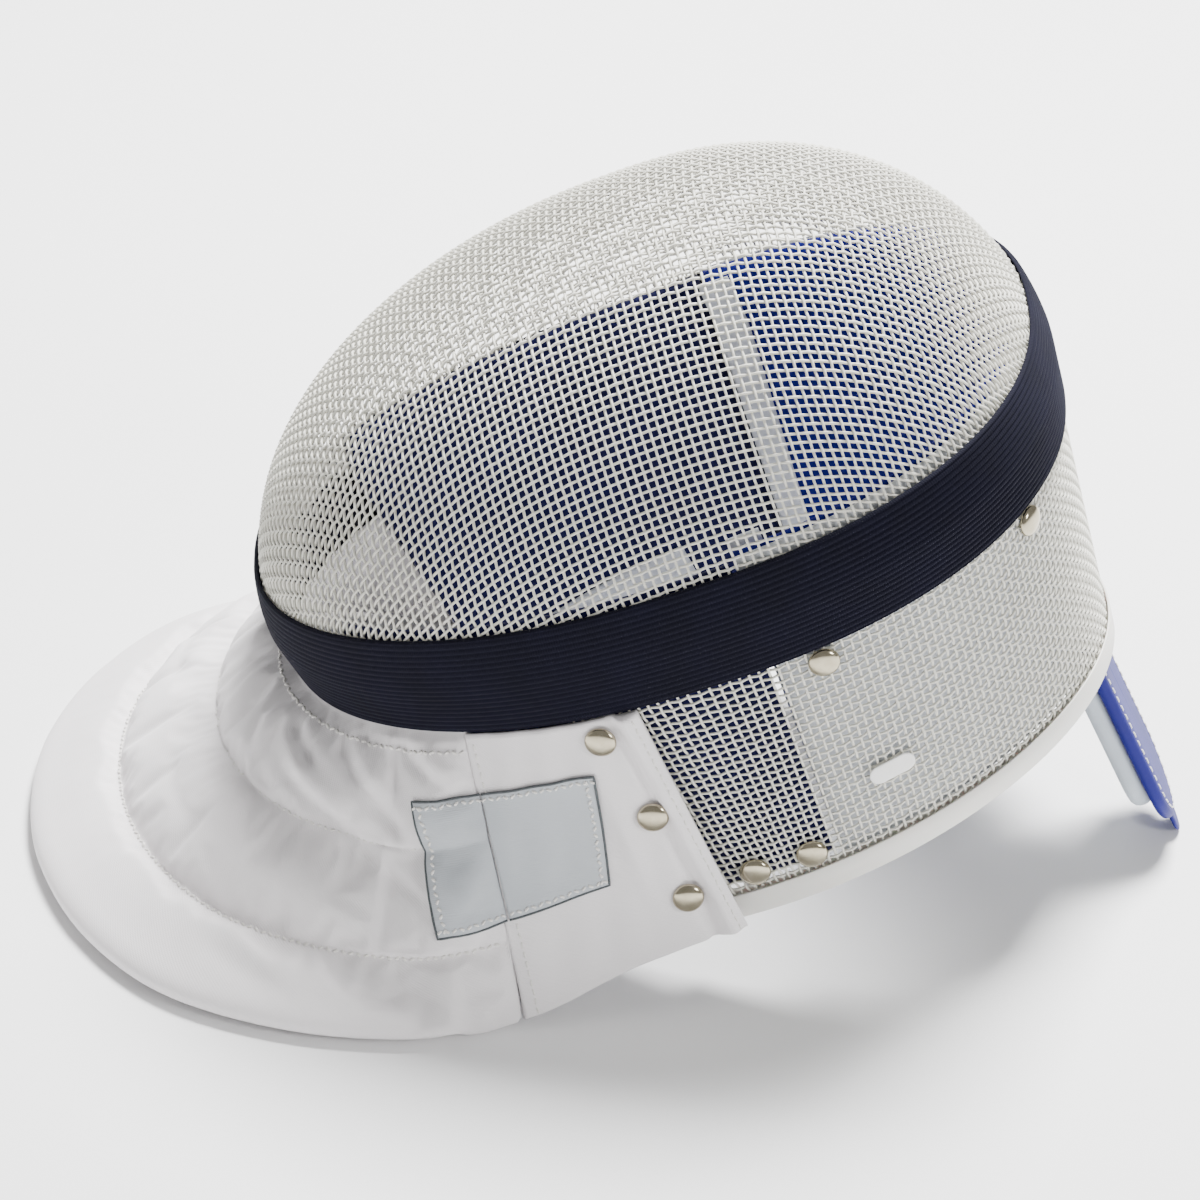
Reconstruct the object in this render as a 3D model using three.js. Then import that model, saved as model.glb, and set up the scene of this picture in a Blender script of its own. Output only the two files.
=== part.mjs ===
// Fencing mask, lying on its back with the face mesh up, as it comes to rest by itself.
// Millimetres, +Z up, +X towards the crown, the wearer's left side towards -Y.
// The mask is modelled in its own frame (x from chin to crown, y to the wearer's right, z out of
// the face) and then tilted, so that the bib edge and the tongue tip stand on the floor.
import * as THREE from 'three';
import { mergeVertices } from 'three/addons/utils/BufferGeometryUtils.js';

// Seam between the front and the rear mesh, seen from the front: an egg-shaped superellipse.
const faceLength = 293;
const halfWidth = 105;
const outlinePower = 2.36;
const crownFullness = 0.1;
const seamDrop = 7;

// Face dome above the seam.
const domeHeight = 107;
const domePower = 1.95;
const apexShare = 0.59;

// Rear mesh, from the seam to the rim of the head opening.
const rimMiddle = 150;
const rimHalfLength = 129;
const rimHalfWidth = 98;
const rimDepth = 126;
const crownRimDepth = 118;
const rearMeshStart = 74;

// Two crossing 1 mm wires make the mesh; the clearance keeps neighbours apart.
const meshWall = 2;
const clearance = 0.3;

// Elastic band over the seam, and the plastic trim on the rim.
const bandWidth = 38;
const bandThickness = 1.6;
const trimCover = 9;
const trimWall = 0.9;

// Bib: a quilted collar, sewn to a plain flap on each side.
const bibPad = 9;
const bibHem = 3;
const bibReach = 132;
const bibHalfWidth = 136;
const bibMiddle = 61;
const bibSeam = 58.5;
const flapEnd = 83.5;
const flapThickness = 2.8;
const flapLift = 29;
const clothEase = 0.3;
const flattening = 1.6;
const flapFootWidth = 0.978 * halfWidth;
const flapMiddleWidth = 1.049 * halfWidth;
const collarFlare = 0.38;
const collarKnee = 0.64;
const flapFlare = 0.5;
const plainRun = 14;
const seamPinch = 6;
const quiltRoundness = 0.6;
const channelEnds = [0, 0.36, 0.72, 1];

// Bare label, folded over the seam between bib and flap, and the oblong patch on the mesh.
const labelWidth = 40;
const labelTurn = 22;
const labelHeight = 45;
const labelBelowBand = 20;
const labelThickness = 0.8;
const patchLength = 17;
const patchHeight = 7.5;
const patchThickness = 0.8;
const patchAngle = 110;
const patchBelowBand = 61;

// Rivets with domed nickel caps.
const rivetRadius = 5.5;
const rivetCapHeight = 2.6;
const rivetRim = 0.8;
const rivetBelowBand = 6.4;
const rimRivetBelowBand = 81.5;

// Padding inside.
const liningThickness = 6;
const liningBackOff = 12;
const crownPadThickness = 9;
const backingThickness = 1.5;
const padRise = 22;
const crownPadBackOff = 10;
const tongueRoomDegrees = [18, 27];
const plyGap = 0.5;
const liningRise = 20;
const liningFront = 40;
const padEdgeAngle = 99;
const edgeTapeWidth = 9;
const edgeTapeThickness = 1.4;

// Tongue: a sprung strip with a pad, which hangs from the rim at the crown.
const tongueWidth = 46;
const tongueThickness = 5;
const tonguePadThickness = 8;
const tongueRoot = 24;
const tabWidth = 16;
const tabLength = 9;
const tongueSplay = 4;
const tonguePadBorder = 2;

// How the mask lies: its tilt, and the height of the middle of the seam above the floor.
const restTilt = 22.9;
const restHeight = 148;

const middle = faceLength / 2;
const meshInset = bandThickness + clearance;
const meshInner = meshInset + meshWall;
const bandHalf = bandWidth / 2;
const tilt = THREE.MathUtils.degToRad(restTilt);
const rad = THREE.MathUtils.degToRad;
const mix = THREE.MathUtils.lerp;

function signedPower(value, power) {
  return Math.sign(value) * Math.abs(value) ** power;
}

// A point of the seam outline. Angle 0 is the chin, 90 the wearer's left side, 180 the crown.
function seam(angle, inset) {
  const c = Math.cos(angle);
  const across = signedPower(Math.sin(angle), 2 / outlinePower) * (1 - crownFullness * c);
  const along = -signedPower(c, 2 / outlinePower);
  return new THREE.Vector3(
    middle + along * (middle - inset),
    -across * (halfWidth - inset),
    -seamDrop * (1 - along * along),
  );
}

// A point of the rim of the head opening at the same angle.
function rim(angle, inset) {
  const rise = ((1 - Math.cos(angle)) / 2) ** 2;
  return new THREE.Vector3(
    rimMiddle - Math.cos(angle) * (rimHalfLength - inset),
    -Math.sin(angle) * (rimHalfWidth - inset),
    -mix(rimDepth, crownRimDepth, rise),
  );
}

// The dome: each seam point is drawn in towards the apex as it rises, along a superellipse.
function dome(angle, height, inset) {
  const rise = Math.min(Math.max(height / (domeHeight - inset), 0), 1);
  const spread = (1 - rise ** domePower) ** (1 / domePower);
  const base = seam(angle, inset);
  return new THREE.Vector3(
    mix(faceLength * apexShare, base.x, spread),
    base.y * spread,
    base.z * (1 - rise) + height,
  );
}

// The side wall of the mask: the dome above the seam, a straight wall to the rim below it.
function wall(angle, height, inset) {
  if (height >= 0) {
    return dome(angle, height, inset);
  }
  const top = seam(angle, inset);
  const bottom = rim(angle, inset);
  return top.lerp(bottom, height / (bottom.z - top.z));
}

// Depth of the rim below the seam at an angle.
function depthAt(angle) {
  return seam(angle, 0).z - rim(angle, 0).z;
}

// Conversions between the mask's own frame and a frame whose floor is at z = 0.
function toFloorFrame(p) {
  const x = p.x - middle;
  return new THREE.Vector3(
    x * Math.cos(tilt) - p.z * Math.sin(tilt),
    p.y,
    x * Math.sin(tilt) + p.z * Math.cos(tilt) + restHeight,
  );
}

function fromFloorFrame(p) {
  const z = p.z - restHeight;
  return new THREE.Vector3(
    p.x * Math.cos(tilt) + z * Math.sin(tilt) + middle,
    p.y,
    -p.x * Math.sin(tilt) + z * Math.cos(tilt),
  );
}

// Presses a soft point up to the floor.
function flatten(p) {
  const q = toFloorFrame(p);
  q.z = Math.max(q.z, 0);
  return fromFloorFrame(q);
}

function steps(from, to, count) {
  return Array.from({ length: count + 1 }, (_, i) => mix(from, to, i / count));
}

// A closed wall: every section has an outer and an inner row of points of equal length.
// Sections are joined in order; an open run is closed by an end wall at both ends.
function wallGeometry(sections, closed) {
  const rows = sections[0].outer.length;
  const ring = 2 * rows;
  const position = [];
  for (const section of sections) {
    for (const p of [...section.outer, ...[...section.inner].reverse()]) {
      position.push(p.x, p.y, p.z);
    }
  }
  const index = [];
  const quad = (a, b, c, d) => index.push(a, b, c, a, c, d);
  const joins = closed ? sections.length : sections.length - 1;
  for (let i = 0; i < joins; i += 1) {
    const here = i * ring;
    const next = ((i + 1) % sections.length) * ring;
    for (let k = 0; k < ring; k += 1) {
      const up = (k + 1) % ring;
      quad(here + k, next + k, next + up, here + up);
    }
  }
  if (!closed) {
    const last = (sections.length - 1) * ring;
    for (let k = 0; k < rows - 1; k += 1) {
      const back = ring - 1 - k;
      quad(k, k + 1, back - 1, back);
      quad(last + k, last + back, last + back - 1, last + k + 1);
    }
  }
  return tidyGeometry(position, index);
}

// Merges equal corners, drops triangles that have no area and turns the faces outwards.
function tidyGeometry(position, index) {
  const raw = new THREE.BufferGeometry();
  raw.setAttribute('position', new THREE.Float32BufferAttribute(position, 3));
  raw.setIndex(index);
  const merged = mergeVertices(raw, 0.002);
  const old = merged.getIndex().array;
  const kept = [];
  for (let i = 0; i < old.length; i += 3) {
    const [a, b, c] = [old[i], old[i + 1], old[i + 2]];
    if (a !== b && b !== c && c !== a) {
      kept.push(a, b, c);
    }
  }
  merged.setIndex(volumeOf(merged, kept) > 0 ? kept : turned(kept));
  merged.computeVertexNormals();
  return merged;
}

function volumeOf(geometry, index) {
  const at = geometry.getAttribute('position');
  const corner = (i) => new THREE.Vector3().fromBufferAttribute(at, i);
  let volume = 0;
  for (let i = 0; i < index.length; i += 3) {
    volume += corner(index[i]).dot(corner(index[i + 1]).cross(corner(index[i + 2]))) / 6;
  }
  return volume;
}

function turned(index) {
  const out = [];
  for (let i = 0; i < index.length; i += 3) {
    out.push(index[i], index[i + 2], index[i + 1]);
  }
  return out;
}

const mask = new THREE.Group();
const placed = new THREE.Group();
placed.rotation.y = -tilt;
mask.add(placed);

function add(name, geometry, colour, roughness, metalness = 0) {
  const material = new THREE.MeshStandardMaterial({ color: colour, roughness, metalness });
  const mesh = new THREE.Mesh(geometry, material);
  mesh.name = name;
  placed.add(mesh);
  return mesh;
}

// A wall that follows the mask between two angles, from one height to another.
function wallPiece(angles, heights, outerInset, innerInset, closed) {
  const sections = angles.map((degrees) => {
    const angle = rad(degrees);
    const list = heights(angle);
    return {
      outer: list.map((h) => wall(angle, h, outerInset)),
      inner: list.map((h) => wall(angle, h, innerInset)),
    };
  });
  return wallGeometry(sections, closed);
}

// Front mesh: the face dome, from just above the seam to the apex.
function frontMesh() {
  const seamGap = 2 * clearance;
  const columns = steps(0, 360, 56).slice(0, -1);
  const rises = steps(0, 90, 12).map((degrees) => Math.sin(rad(degrees)) ** (2 / domePower));
  const sections = columns.map((degrees) => {
    const row = (inset) => rises.map((rise) => {
      const height = mix(seamGap, domeHeight - inset, rise);
      return dome(rad(degrees), height, inset);
    });
    return { outer: row(meshInset), inner: row(meshInner) };
  });
  return wallGeometry(sections, true);
}

// Rear mesh: one strip from flap to flap over the crown, from the seam to the rim.
function rearMesh() {
  const heights = (angle) => steps(-2 * clearance, -depthAt(angle), 4);
  return wallPiece(steps(rearMeshStart, 360 - rearMeshStart, 56), heights, meshInset, meshInner, false);
}

// Rim trim: a U-shaped profile pushed over the edge of the rear mesh.
function rimTrim() {
  const outside = meshInset - clearance - trimWall;
  const inside = meshInner + clearance + trimWall;
  const sections = steps(rearMeshStart, 360 - rearMeshStart, 56).map((degrees) => {
    const angle = rad(degrees);
    const depth = depthAt(angle);
    const at = (inset, below) => wall(angle, trimCover - depth - below, inset);
    const foot = trimCover + clearance;
    return {
      outer: [
        at(outside, 0),
        at(outside, foot),
        at(outside + trimWall, foot + trimWall),
        at(inside - trimWall, foot + trimWall),
        at(inside, foot),
        at(inside, 0),
      ],
      inner: [
        at(outside + trimWall, 0),
        at(outside + trimWall, foot - trimWall / 2),
        at(outside + trimWall, foot),
        at(inside - trimWall, foot),
        at(inside - trimWall, foot - trimWall / 2),
        at(inside - trimWall, 0),
      ],
    };
  });
  return wallGeometry(sections, false);
}

// Elastic band: a closed loop over the seam, half on the dome and half on the rear mesh.
function elasticBand() {
  const heights = () => steps(-bandHalf, bandHalf, 4);
  return wallPiece(steps(0, 360, 72).slice(0, -1), heights, 0, bandThickness, true);
}

// The outer edge of the bib and its flaps, on one side. angle: degrees about the seam;
// ahead: share of bibReach towards the chin from the widest place; side: share of
// bibHalfWidth; lift: share of flapLift above the floor. The flap's side keeps to the mesh.
const bibEdgeRows = [
  { angle: 0, ahead: 1, side: 0, lift: 0 },
  { angle: 10, ahead: 0.965, side: 0.29, lift: 0 },
  { angle: 20, ahead: 0.84, side: 0.59, lift: 0 },
  { angle: 30, ahead: 0.62, side: 0.84, lift: 0 },
  { angle: 40, ahead: 0.3, side: 0.975, lift: 0 },
  { angle: 50, ahead: -0.04, side: 0.995, lift: 0 },
  { angle: bibSeam, ahead: -0.33, side: 0.915, lift: 0.1 },
  { angle: 70, ahead: -0.6, side: flapMiddleWidth / bibHalfWidth, lift: 0.5 },
  { angle: flapEnd, ahead: -0.9, side: flapFootWidth / bibHalfWidth, lift: 1 },
];

function bibEdge(angle) {
  const degrees = Math.abs(THREE.MathUtils.radToDeg(angle));
  const last = bibEdgeRows.length - 2;
  const found = bibEdgeRows.findIndex((row, i) => i <= last && degrees <= bibEdgeRows[i + 1].angle);
  const i = found < 0 ? last : found;
  const row = (k) => {
    if (k < 0) {
      const first = bibEdgeRows[-k];
      return { angle: -first.angle, ahead: first.ahead, side: -first.side, lift: first.lift };
    }
    return bibEdgeRows[Math.min(k, last + 1)];
  };
  const near = [row(i - 1), row(i), row(i + 1), row(i + 2)];
  const t = (degrees - near[1].angle) / (near[2].angle - near[1].angle);
  const value = (key) => {
    const slope = (a, b) => (b[key] - a[key]) / Math.max(b.angle - a.angle, 1);
    const span = near[2].angle - near[1].angle;
    const m0 = slope(near[0], near[2]) * span;
    const m1 = slope(near[1], near[3]) * span;
    const h = 2 * t ** 3 - 3 * t ** 2 + 1;
    return h * near[1][key] + (t ** 3 - 2 * t ** 2 + t) * m0
      + (1 - h) * near[2][key] + (t ** 3 - t ** 2) * m1;
  };
  const widest = bibMiddle - middle;
  return fromFloorFrame(new THREE.Vector3(
    widest - value('ahead') * bibReach,
    -Math.sign(angle) * value('side') * bibHalfWidth,
    bibHem / 2 - flattening + Math.max(value('lift'), 0) * flapLift,
  ));
}

// The middle surface of the cloth: v runs from the band (0) to the outer edge (1). The cloth
// leaves the band steeply and flares out on its way down.
function bibMiddleSurface(angle, v) {
  const plain = THREE.MathUtils.smoothstep(Math.abs(angle), rad(bibSeam - plainRun), rad(bibSeam));
  const topInset = meshInset - clearance - flapThickness / 2 - clothEase;
  const top = wall(angle, -bandHalf - clearance - bibHem / 2, topInset);
  const edge = bibEdge(angle);
  const flare = mix(collarFlare, flapFlare, plain);
  const knee = new THREE.Vector3(
    mix(top.x, edge.x, flare),
    mix(top.y, edge.y, flare),
    mix(top.z, edge.z, mix(collarKnee, flapFlare, plain)),
  );
  const p = new THREE.Vector3();
  p.addScaledVector(top, (1 - v) ** 2);
  p.addScaledVector(knee, 2 * v * (1 - v));
  p.addScaledVector(edge, v * v);
  return p;
}

function bibNormal(angle, v) {
  const da = 0.002;
  const dv = 0.01;
  const v0 = Math.min(v, 1 - dv);
  const alongAngle = bibMiddleSurface(angle + da, v0).sub(bibMiddleSurface(angle - da, v0));
  const down = bibMiddleSurface(angle, v0 + dv).sub(bibMiddleSurface(angle, v0));
  return alongAngle.cross(down).normalize().negate();
}

// A point beside the middle surface, pushed out by a distance and kept above the floor.
function bibPoint(angle, v, out) {
  const p = bibMiddleSurface(angle, v);
  return flatten(p.addScaledVector(bibNormal(angle, v), out));
}

// Quilting: the stitch lines part the collar into channels, whose ends are pinched.
function quiltRows() {
  const rows = [];
  for (let i = 1; i < channelEnds.length; i += 1) {
    for (const share of [0, 0.1, 0.3, 0.7, 0.9]) {
      const v = mix(channelEnds[i - 1], channelEnds[i], share);
      rows.push({ v, puff: Math.sin(Math.PI * share) ** quiltRoundness });
    }
  }
  rows.push({ v: 1, puff: 0 });
  return rows;
}

function quiltedBib() {
  const rows = quiltRows();
  const end = bibSeam - clearance / 2;
  const sections = steps(-end, end, 44).map((degrees) => {
    const angle = rad(degrees);
    const seamFade = Math.sqrt(Math.min((end - Math.abs(degrees)) / seamPinch, 1));
    const side = (sign) => rows.map((row) => {
      const thickness = mix(bibHem, bibPad, row.puff * seamFade);
      return bibPoint(angle, row.v, sign * thickness / 2);
    });
    return { outer: side(1), inner: side(-1) };
  });
  return wallGeometry(sections, false);
}

// Side flap: plain cloth that lies over the front end of the rear mesh.
function sideFlap(side) {
  const sections = steps(bibSeam + clearance / 2, flapEnd, 12).map((degrees) => {
    const angle = side * rad(degrees);
    const row = (sign) => steps(0, 1, 8).map((v) => bibPoint(angle, v, sign * flapThickness / 2 + v));
    return { outer: row(1), inner: row(-1) };
  });
  return wallGeometry(sections, false);
}

// Width in mm of one degree about the seam, at a share of the way down the cloth.
function degreeWidth(v) {
  const here = bibMiddleSurface(rad(bibSeam), v);
  return bibMiddleSurface(rad(bibSeam + 1), v).distanceTo(here);
}

// Label: a thin plate on the cloth, from one width beside the seam to another. It stands off by
// half of the cloth under it: the flap's thin cloth, or the padding next to the seam.
function labelPlate(fromWidth, toWidth, columns, standOff) {
  const seamTop = bibMiddleSurface(rad(bibSeam), 0);
  const length = seamTop.distanceTo(bibMiddleSurface(rad(bibSeam), 1));
  const top = labelBelowBand / length;
  const bottom = (labelBelowBand + labelHeight) / length;
  const sections = steps(fromWidth, toWidth, columns).map((width) => {
    const row = (out) => steps(top, bottom, 5).map((v) => {
      const angle = rad(bibSeam + width / degreeWidth(v));
      return bibPoint(angle, v, out + v);
    });
    return { outer: row(standOff + labelThickness), inner: row(standOff) };
  });
  return wallGeometry(sections, false);
}

// A rivet: a shallow domed cap with a thin upright rim, standing on +Z.
function rivetGeometry() {
  const profile = [new THREE.Vector2(0, 0), new THREE.Vector2(rivetRadius, 0)];
  for (const share of steps(0, 1, 3)) {
    const turn = share * Math.PI / 2;
    const height = rivetRim + (rivetCapHeight - rivetRim) * Math.sin(turn);
    profile.push(new THREE.Vector2(rivetRadius * Math.cos(turn), height));
  }
  const lathe = new THREE.LatheGeometry(profile, 14);
  lathe.rotateX(Math.PI / 2);
  lathe.deleteAttribute('normal');
  lathe.deleteAttribute('uv');
  return tidyGeometry([...lathe.getAttribute('position').array], [...lathe.getIndex().array]);
}

function stand(geometry, point, normal) {
  const turn = new THREE.Quaternion().setFromUnitVectors(new THREE.Vector3(0, 0, 1), normal);
  return geometry.applyQuaternion(turn).translate(point.x, point.y, point.z);
}

function wallNormal(angle, height) {
  const step = 0.01;
  const along = wall(angle + step, height, meshInset).sub(wall(angle - step, height, meshInset));
  const down = wall(angle, height - 1, meshInset).sub(wall(angle, height, meshInset));
  const normal = along.cross(down).normalize();
  const outward = new THREE.Vector3(-Math.cos(angle), -Math.sin(angle), 0);
  return normal.dot(outward) < 0 ? normal.negate() : normal;
}

// Oblong patch stuck on the side of the rear mesh.
function patch(angleDegrees, below) {
  const angle = rad(angleDegrees);
  const shape = new THREE.Shape();
  const end = patchHeight / 2;
  const straight = patchLength / 2 - end;
  shape.absarc(straight, 0, end, -Math.PI / 2, Math.PI / 2);
  shape.absarc(-straight, 0, end, Math.PI / 2, 3 * Math.PI / 2);
  const options = { depth: patchThickness, bevelEnabled: false, curveSegments: 10 };
  const geometry = new THREE.ExtrudeGeometry(shape, options);
  geometry.deleteAttribute('normal');
  geometry.deleteAttribute('uv');
  const normal = wallNormal(angle, -below);
  const point = wall(angle, -below, meshInset).addScaledVector(normal, seatGap(patchLength / 2));
  return stand(geometry, point, normal);
}

// Height of a flat seat above the curved mesh that it touches only in the middle.
function seatGap(reach) {
  return clearance + reach * reach / (8 * halfWidth);
}

// Rivets of one side. angle: degrees about the seam; below: mm from the seam to the rivet;
// cloth: on the flap, where below is a share of the way down the cloth.
const rivetRows = [
  { name: 'flap_top', angle: 77.7, cloth: 0.072 },
  { name: 'flap_middle', angle: 79.5, cloth: 0.43 },
  { name: 'flap_bottom', angle: 79, cloth: 0.8 },
  { name: 'rim_front', angle: 86, below: bandHalf + rimRivetBelowBand },
  { name: 'rim_rear', angle: 94.5, below: bandHalf + rimRivetBelowBand },
  { name: 'band_side', angle: 105, below: bandHalf + rivetBelowBand },
  { name: 'band_crown', angle: 147, below: bandHalf + rivetBelowBand },
];

function rivet(row, side) {
  const angle = side * rad(row.angle);
  if (row.cloth !== undefined) {
    const normal = bibNormal(angle, row.cloth).normalize();
    const seat = bibPoint(angle, row.cloth, flapThickness / 2 + row.cloth + seatGap(rivetRadius));
    return stand(rivetGeometry(), seat, normal);
  }
  const normal = wallNormal(angle, -row.below);
  const seat = wall(angle, -row.below, meshInset).addScaledVector(normal, seatGap(rivetRadius));
  return stand(rivetGeometry(), seat, normal);
}

// Padding: navy pads on the sides, and a blue pad with a white back round the crown.
const padOuter = meshInner + 2 * clearance;

function padHeights(rise, backOff) {
  return (angle) => steps(rise, backOff - depthAt(angle), 4);
}

// The crown pad reaches down almost to the rim, except where the tongue is fixed.
function crownPadHeights(angle) {
  const away = Math.abs(180 - Math.abs(THREE.MathUtils.radToDeg(angle)));
  const clear = THREE.MathUtils.smoothstep(away, ...tongueRoomDegrees);
  return padHeights(padRise, mix(tongueRoot + 2 * clearance, crownPadBackOff, clear))(angle);
}

function sideLining(side) {
  const ends = [liningFront, padEdgeAngle - 1].map((degrees) => side * degrees);
  const angles = steps(ends[0], ends[1], 10);
  const heights = padHeights(liningRise, liningBackOff);
  return wallPiece(angles, heights, padOuter, padOuter + liningThickness, false);
}

function crownPiece(outer, thickness) {
  const angles = steps(padEdgeAngle, 360 - padEdgeAngle, 28);
  return wallPiece(angles, crownPadHeights, outer, outer + thickness, false);
}

// White tape along the front edge of the crown pad, on the side towards the head.
function edgeTape(side) {
  const outer = padOuter + backingThickness + plyGap + crownPadThickness + plyGap;
  const wide = THREE.MathUtils.radToDeg(edgeTapeWidth / halfWidth);
  const angles = steps(side * padEdgeAngle, side * (padEdgeAngle + wide), 3);
  return wallPiece(angles, crownPadHeights, outer, outer + edgeTapeThickness, false);
}

// Tongue: a flat strip inside the rim at the crown, splayed outwards. Its outline narrows to
// a round end, and a short tab reaches the floor.
const splay = rad(tongueSplay);
const splayAtRim = (tongueRoot + trimWall + 2 * clearance) * Math.tan(splay);
const insideTrim = meshInner + clearance + trimWall + clearance;
const rimChord = Math.sqrt(1 - (tongueWidth / 2 / (rimHalfWidth - insideTrim)) ** 2);
const tongueTop = new THREE.Vector3(
  rimMiddle + (rimHalfLength - insideTrim) * rimChord - tongueThickness - splayAtRim,
  0,
  tongueRoot - crownRimDepth,
);
const rootHeight = toFloorFrame(tongueTop).z;
const tongueLength = rootHeight / Math.cos(tilt + splay);

function tongueOutline(width, top, bottom, tab) {
  const half = width / 2;
  const shape = new THREE.Shape();
  const shoulder = bottom + half;
  shape.moveTo(-half, top);
  shape.lineTo(-half, shoulder);
  if (tab) {
    const tabHalf = tabWidth / 2;
    const meet = shoulder - Math.sqrt(half * half - tabHalf * tabHalf);
    const turn = Math.acos(tabHalf / half);
    shape.absarc(0, shoulder, half, Math.PI, Math.PI + turn, false);
    shape.lineTo(-tabHalf, Math.min(meet, bottom - tab + tabHalf));
    shape.absarc(0, bottom - tab + tabHalf, tabHalf, Math.PI, 2 * Math.PI, false);
    shape.absarc(0, shoulder, half, 2 * Math.PI - turn, 2 * Math.PI, false);
  } else {
    shape.absarc(0, shoulder, half, Math.PI, 2 * Math.PI, false);
  }
  shape.lineTo(half, top);
  shape.closePath();
  return shape;
}

// Stands an outline up at the tongue's root; back is the distance behind the strip's inner face.
function tonguePiece(shape, back, thickness) {
  const options = { depth: thickness, bevelEnabled: false, curveSegments: 12 };
  const geometry = new THREE.ExtrudeGeometry(shape, options);
  geometry.deleteAttribute('normal');
  geometry.deleteAttribute('uv');
  geometry.rotateX(Math.PI / 2);
  geometry.rotateZ(Math.PI / 2);
  geometry.translate(-back, 0, 0);
  geometry.rotateY(-splay);
  return geometry.translate(tongueTop.x, tongueTop.y, tongueTop.z);
}

const labelFold = 1.6;
const labelGap = 1.1;
const onFlap = clearance + flapThickness / 2;
const onPad = clearance + bibPad / 2;
const labelFront = labelPlate(labelFold, labelWidth, 8, onFlap);
const labelBack = labelPlate(-labelTurn, labelFold - labelGap, 5, onPad);

add('front_mesh', frontMesh(), 0xdddbd0, 0.5);
add('rear_mesh', rearMesh(), 0xdddbd0, 0.5);
add('rim_trim', rimTrim(), 0xdedbd5, 0.45);
add('elastic_band', elasticBand(), 0x0c0c26, 0.9);
add('bib', quiltedBib(), 0xe8e4e5, 0.9);
add('label_front', labelFront, 0xb9bec2, 0.6);
add('label_turn', labelBack, 0xb9bec2, 0.6);
add('mesh_patch', patch(patchAngle, bandHalf + patchBelowBand), 0xe6e6e4, 0.5);
for (const [side, name] of [[1, 'left'], [-1, 'right']]) {
  add(`bib_flap_${name}`, sideFlap(side), 0xe8e4e5, 0.9);
  add(`side_lining_${name}`, sideLining(side), 0x0a0c38, 0.95);
  add(`pad_edge_tape_${name}`, edgeTape(side), 0xd0d4dc, 0.8);
  for (const row of rivetRows) {
    add(`rivet_${row.name}_${name}`, rivet(row, side), 0xb8b2a0, 0.25, 1);
  }
}
add('crown_pad_back', crownPiece(padOuter, backingThickness), 0xd0d4dc, 0.9);
add('crown_pad', crownPiece(padOuter + backingThickness + plyGap, crownPadThickness), 0x1f2a9a, 0.95);

const stripEnd = tabLength - tongueLength;
const strip = tongueOutline(tongueWidth, 0, stripEnd, tabLength);
const padShape = tongueOutline(tongueWidth - 2 * tonguePadBorder, 0, stripEnd + tabLength, 0);
const padBack = tonguePadThickness + clearance;
add('tongue', tonguePiece(strip, 0, tongueThickness), 0x1d1da8, 0.85);
add('tongue_pad', tonguePiece(padShape, padBack, tonguePadThickness), 0xb9c1c9, 0.9);

// The origin is under the middle of the whole mask, on the floor.
mask.updateMatrixWorld(true);
const bounds = new THREE.Box3().setFromObject(mask, true);
const centre = bounds.getCenter(new THREE.Vector3());
placed.position.set(-centre.x, -centre.y, -bounds.min.z);

export default mask;
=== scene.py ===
# A fencing mask lying on its back, in metres, in the frame of the CAD model.
import math

import bpy
import numpy as np
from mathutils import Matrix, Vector


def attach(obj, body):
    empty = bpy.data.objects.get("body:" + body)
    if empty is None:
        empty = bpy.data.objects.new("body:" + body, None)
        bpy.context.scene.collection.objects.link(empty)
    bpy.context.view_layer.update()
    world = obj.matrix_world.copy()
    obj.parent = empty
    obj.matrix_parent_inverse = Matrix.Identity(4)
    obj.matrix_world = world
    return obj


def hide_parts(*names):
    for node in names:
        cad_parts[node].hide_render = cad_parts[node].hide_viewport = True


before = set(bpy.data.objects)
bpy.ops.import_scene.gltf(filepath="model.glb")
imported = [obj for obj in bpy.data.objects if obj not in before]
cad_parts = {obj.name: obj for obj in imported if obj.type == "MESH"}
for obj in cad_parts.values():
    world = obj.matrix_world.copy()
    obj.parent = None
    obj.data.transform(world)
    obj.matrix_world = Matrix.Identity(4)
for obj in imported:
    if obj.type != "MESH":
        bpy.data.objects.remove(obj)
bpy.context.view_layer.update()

# Camera, at the photograph's viewing angle: to the wearer's left of the mask and a little above
# it, rolled slightly, with a long lens.
camera = bpy.data.objects.new("camera", bpy.data.cameras.new("camera"))
camera.data.sensor_width = 36
camera.data.lens = 153.23
camera.data.clip_end = 20
camera.location = (-0.1135, -1.5239, 1.0714)
camera.rotation_euler = [math.radians(turn) for turn in (57.345, -2.682, -2.197)]
bpy.context.scene.collection.objects.link(camera)
bpy.context.scene.camera = camera


# Floor and light: a plain white studio sweep, a broad soft lamp overhead and a little behind, a
# weaker one in front at the right and a faint one at the left, as in a catalogue photograph.
def linear(code):
    """A colour of the shader's kind from an sRGB hex code."""
    parts = np.array([int(code[i:i + 2], 16) for i in (1, 3, 5)]) / 255
    curve = np.where(parts <= 0.04045, parts / 12.92, ((parts + 0.055) / 1.055) ** 2.4)
    return (*curve.tolist(), 1.0)


def node(material, kind, settings=None, links=None, feeds=None):
    """Adds one shader node. Settings set its sockets or its own fields; links feed its sockets;
    its first output feeds the shader's socket that is named in feeds."""
    made = material.node_tree.nodes.new(kind)
    for key, value in (settings or {}).items():
        if isinstance(key, str) and hasattr(made, key):
            setattr(made, key, value)
        else:
            made.inputs[key].default_value = value
    for key, source in (links or {}).items():
        material.node_tree.links.new(source, made.inputs[key])
    if feeds:
        shader = material.node_tree.nodes["Principled BSDF"]
        material.node_tree.links.new(made.outputs[0], shader.inputs[feeds])
    return made


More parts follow.
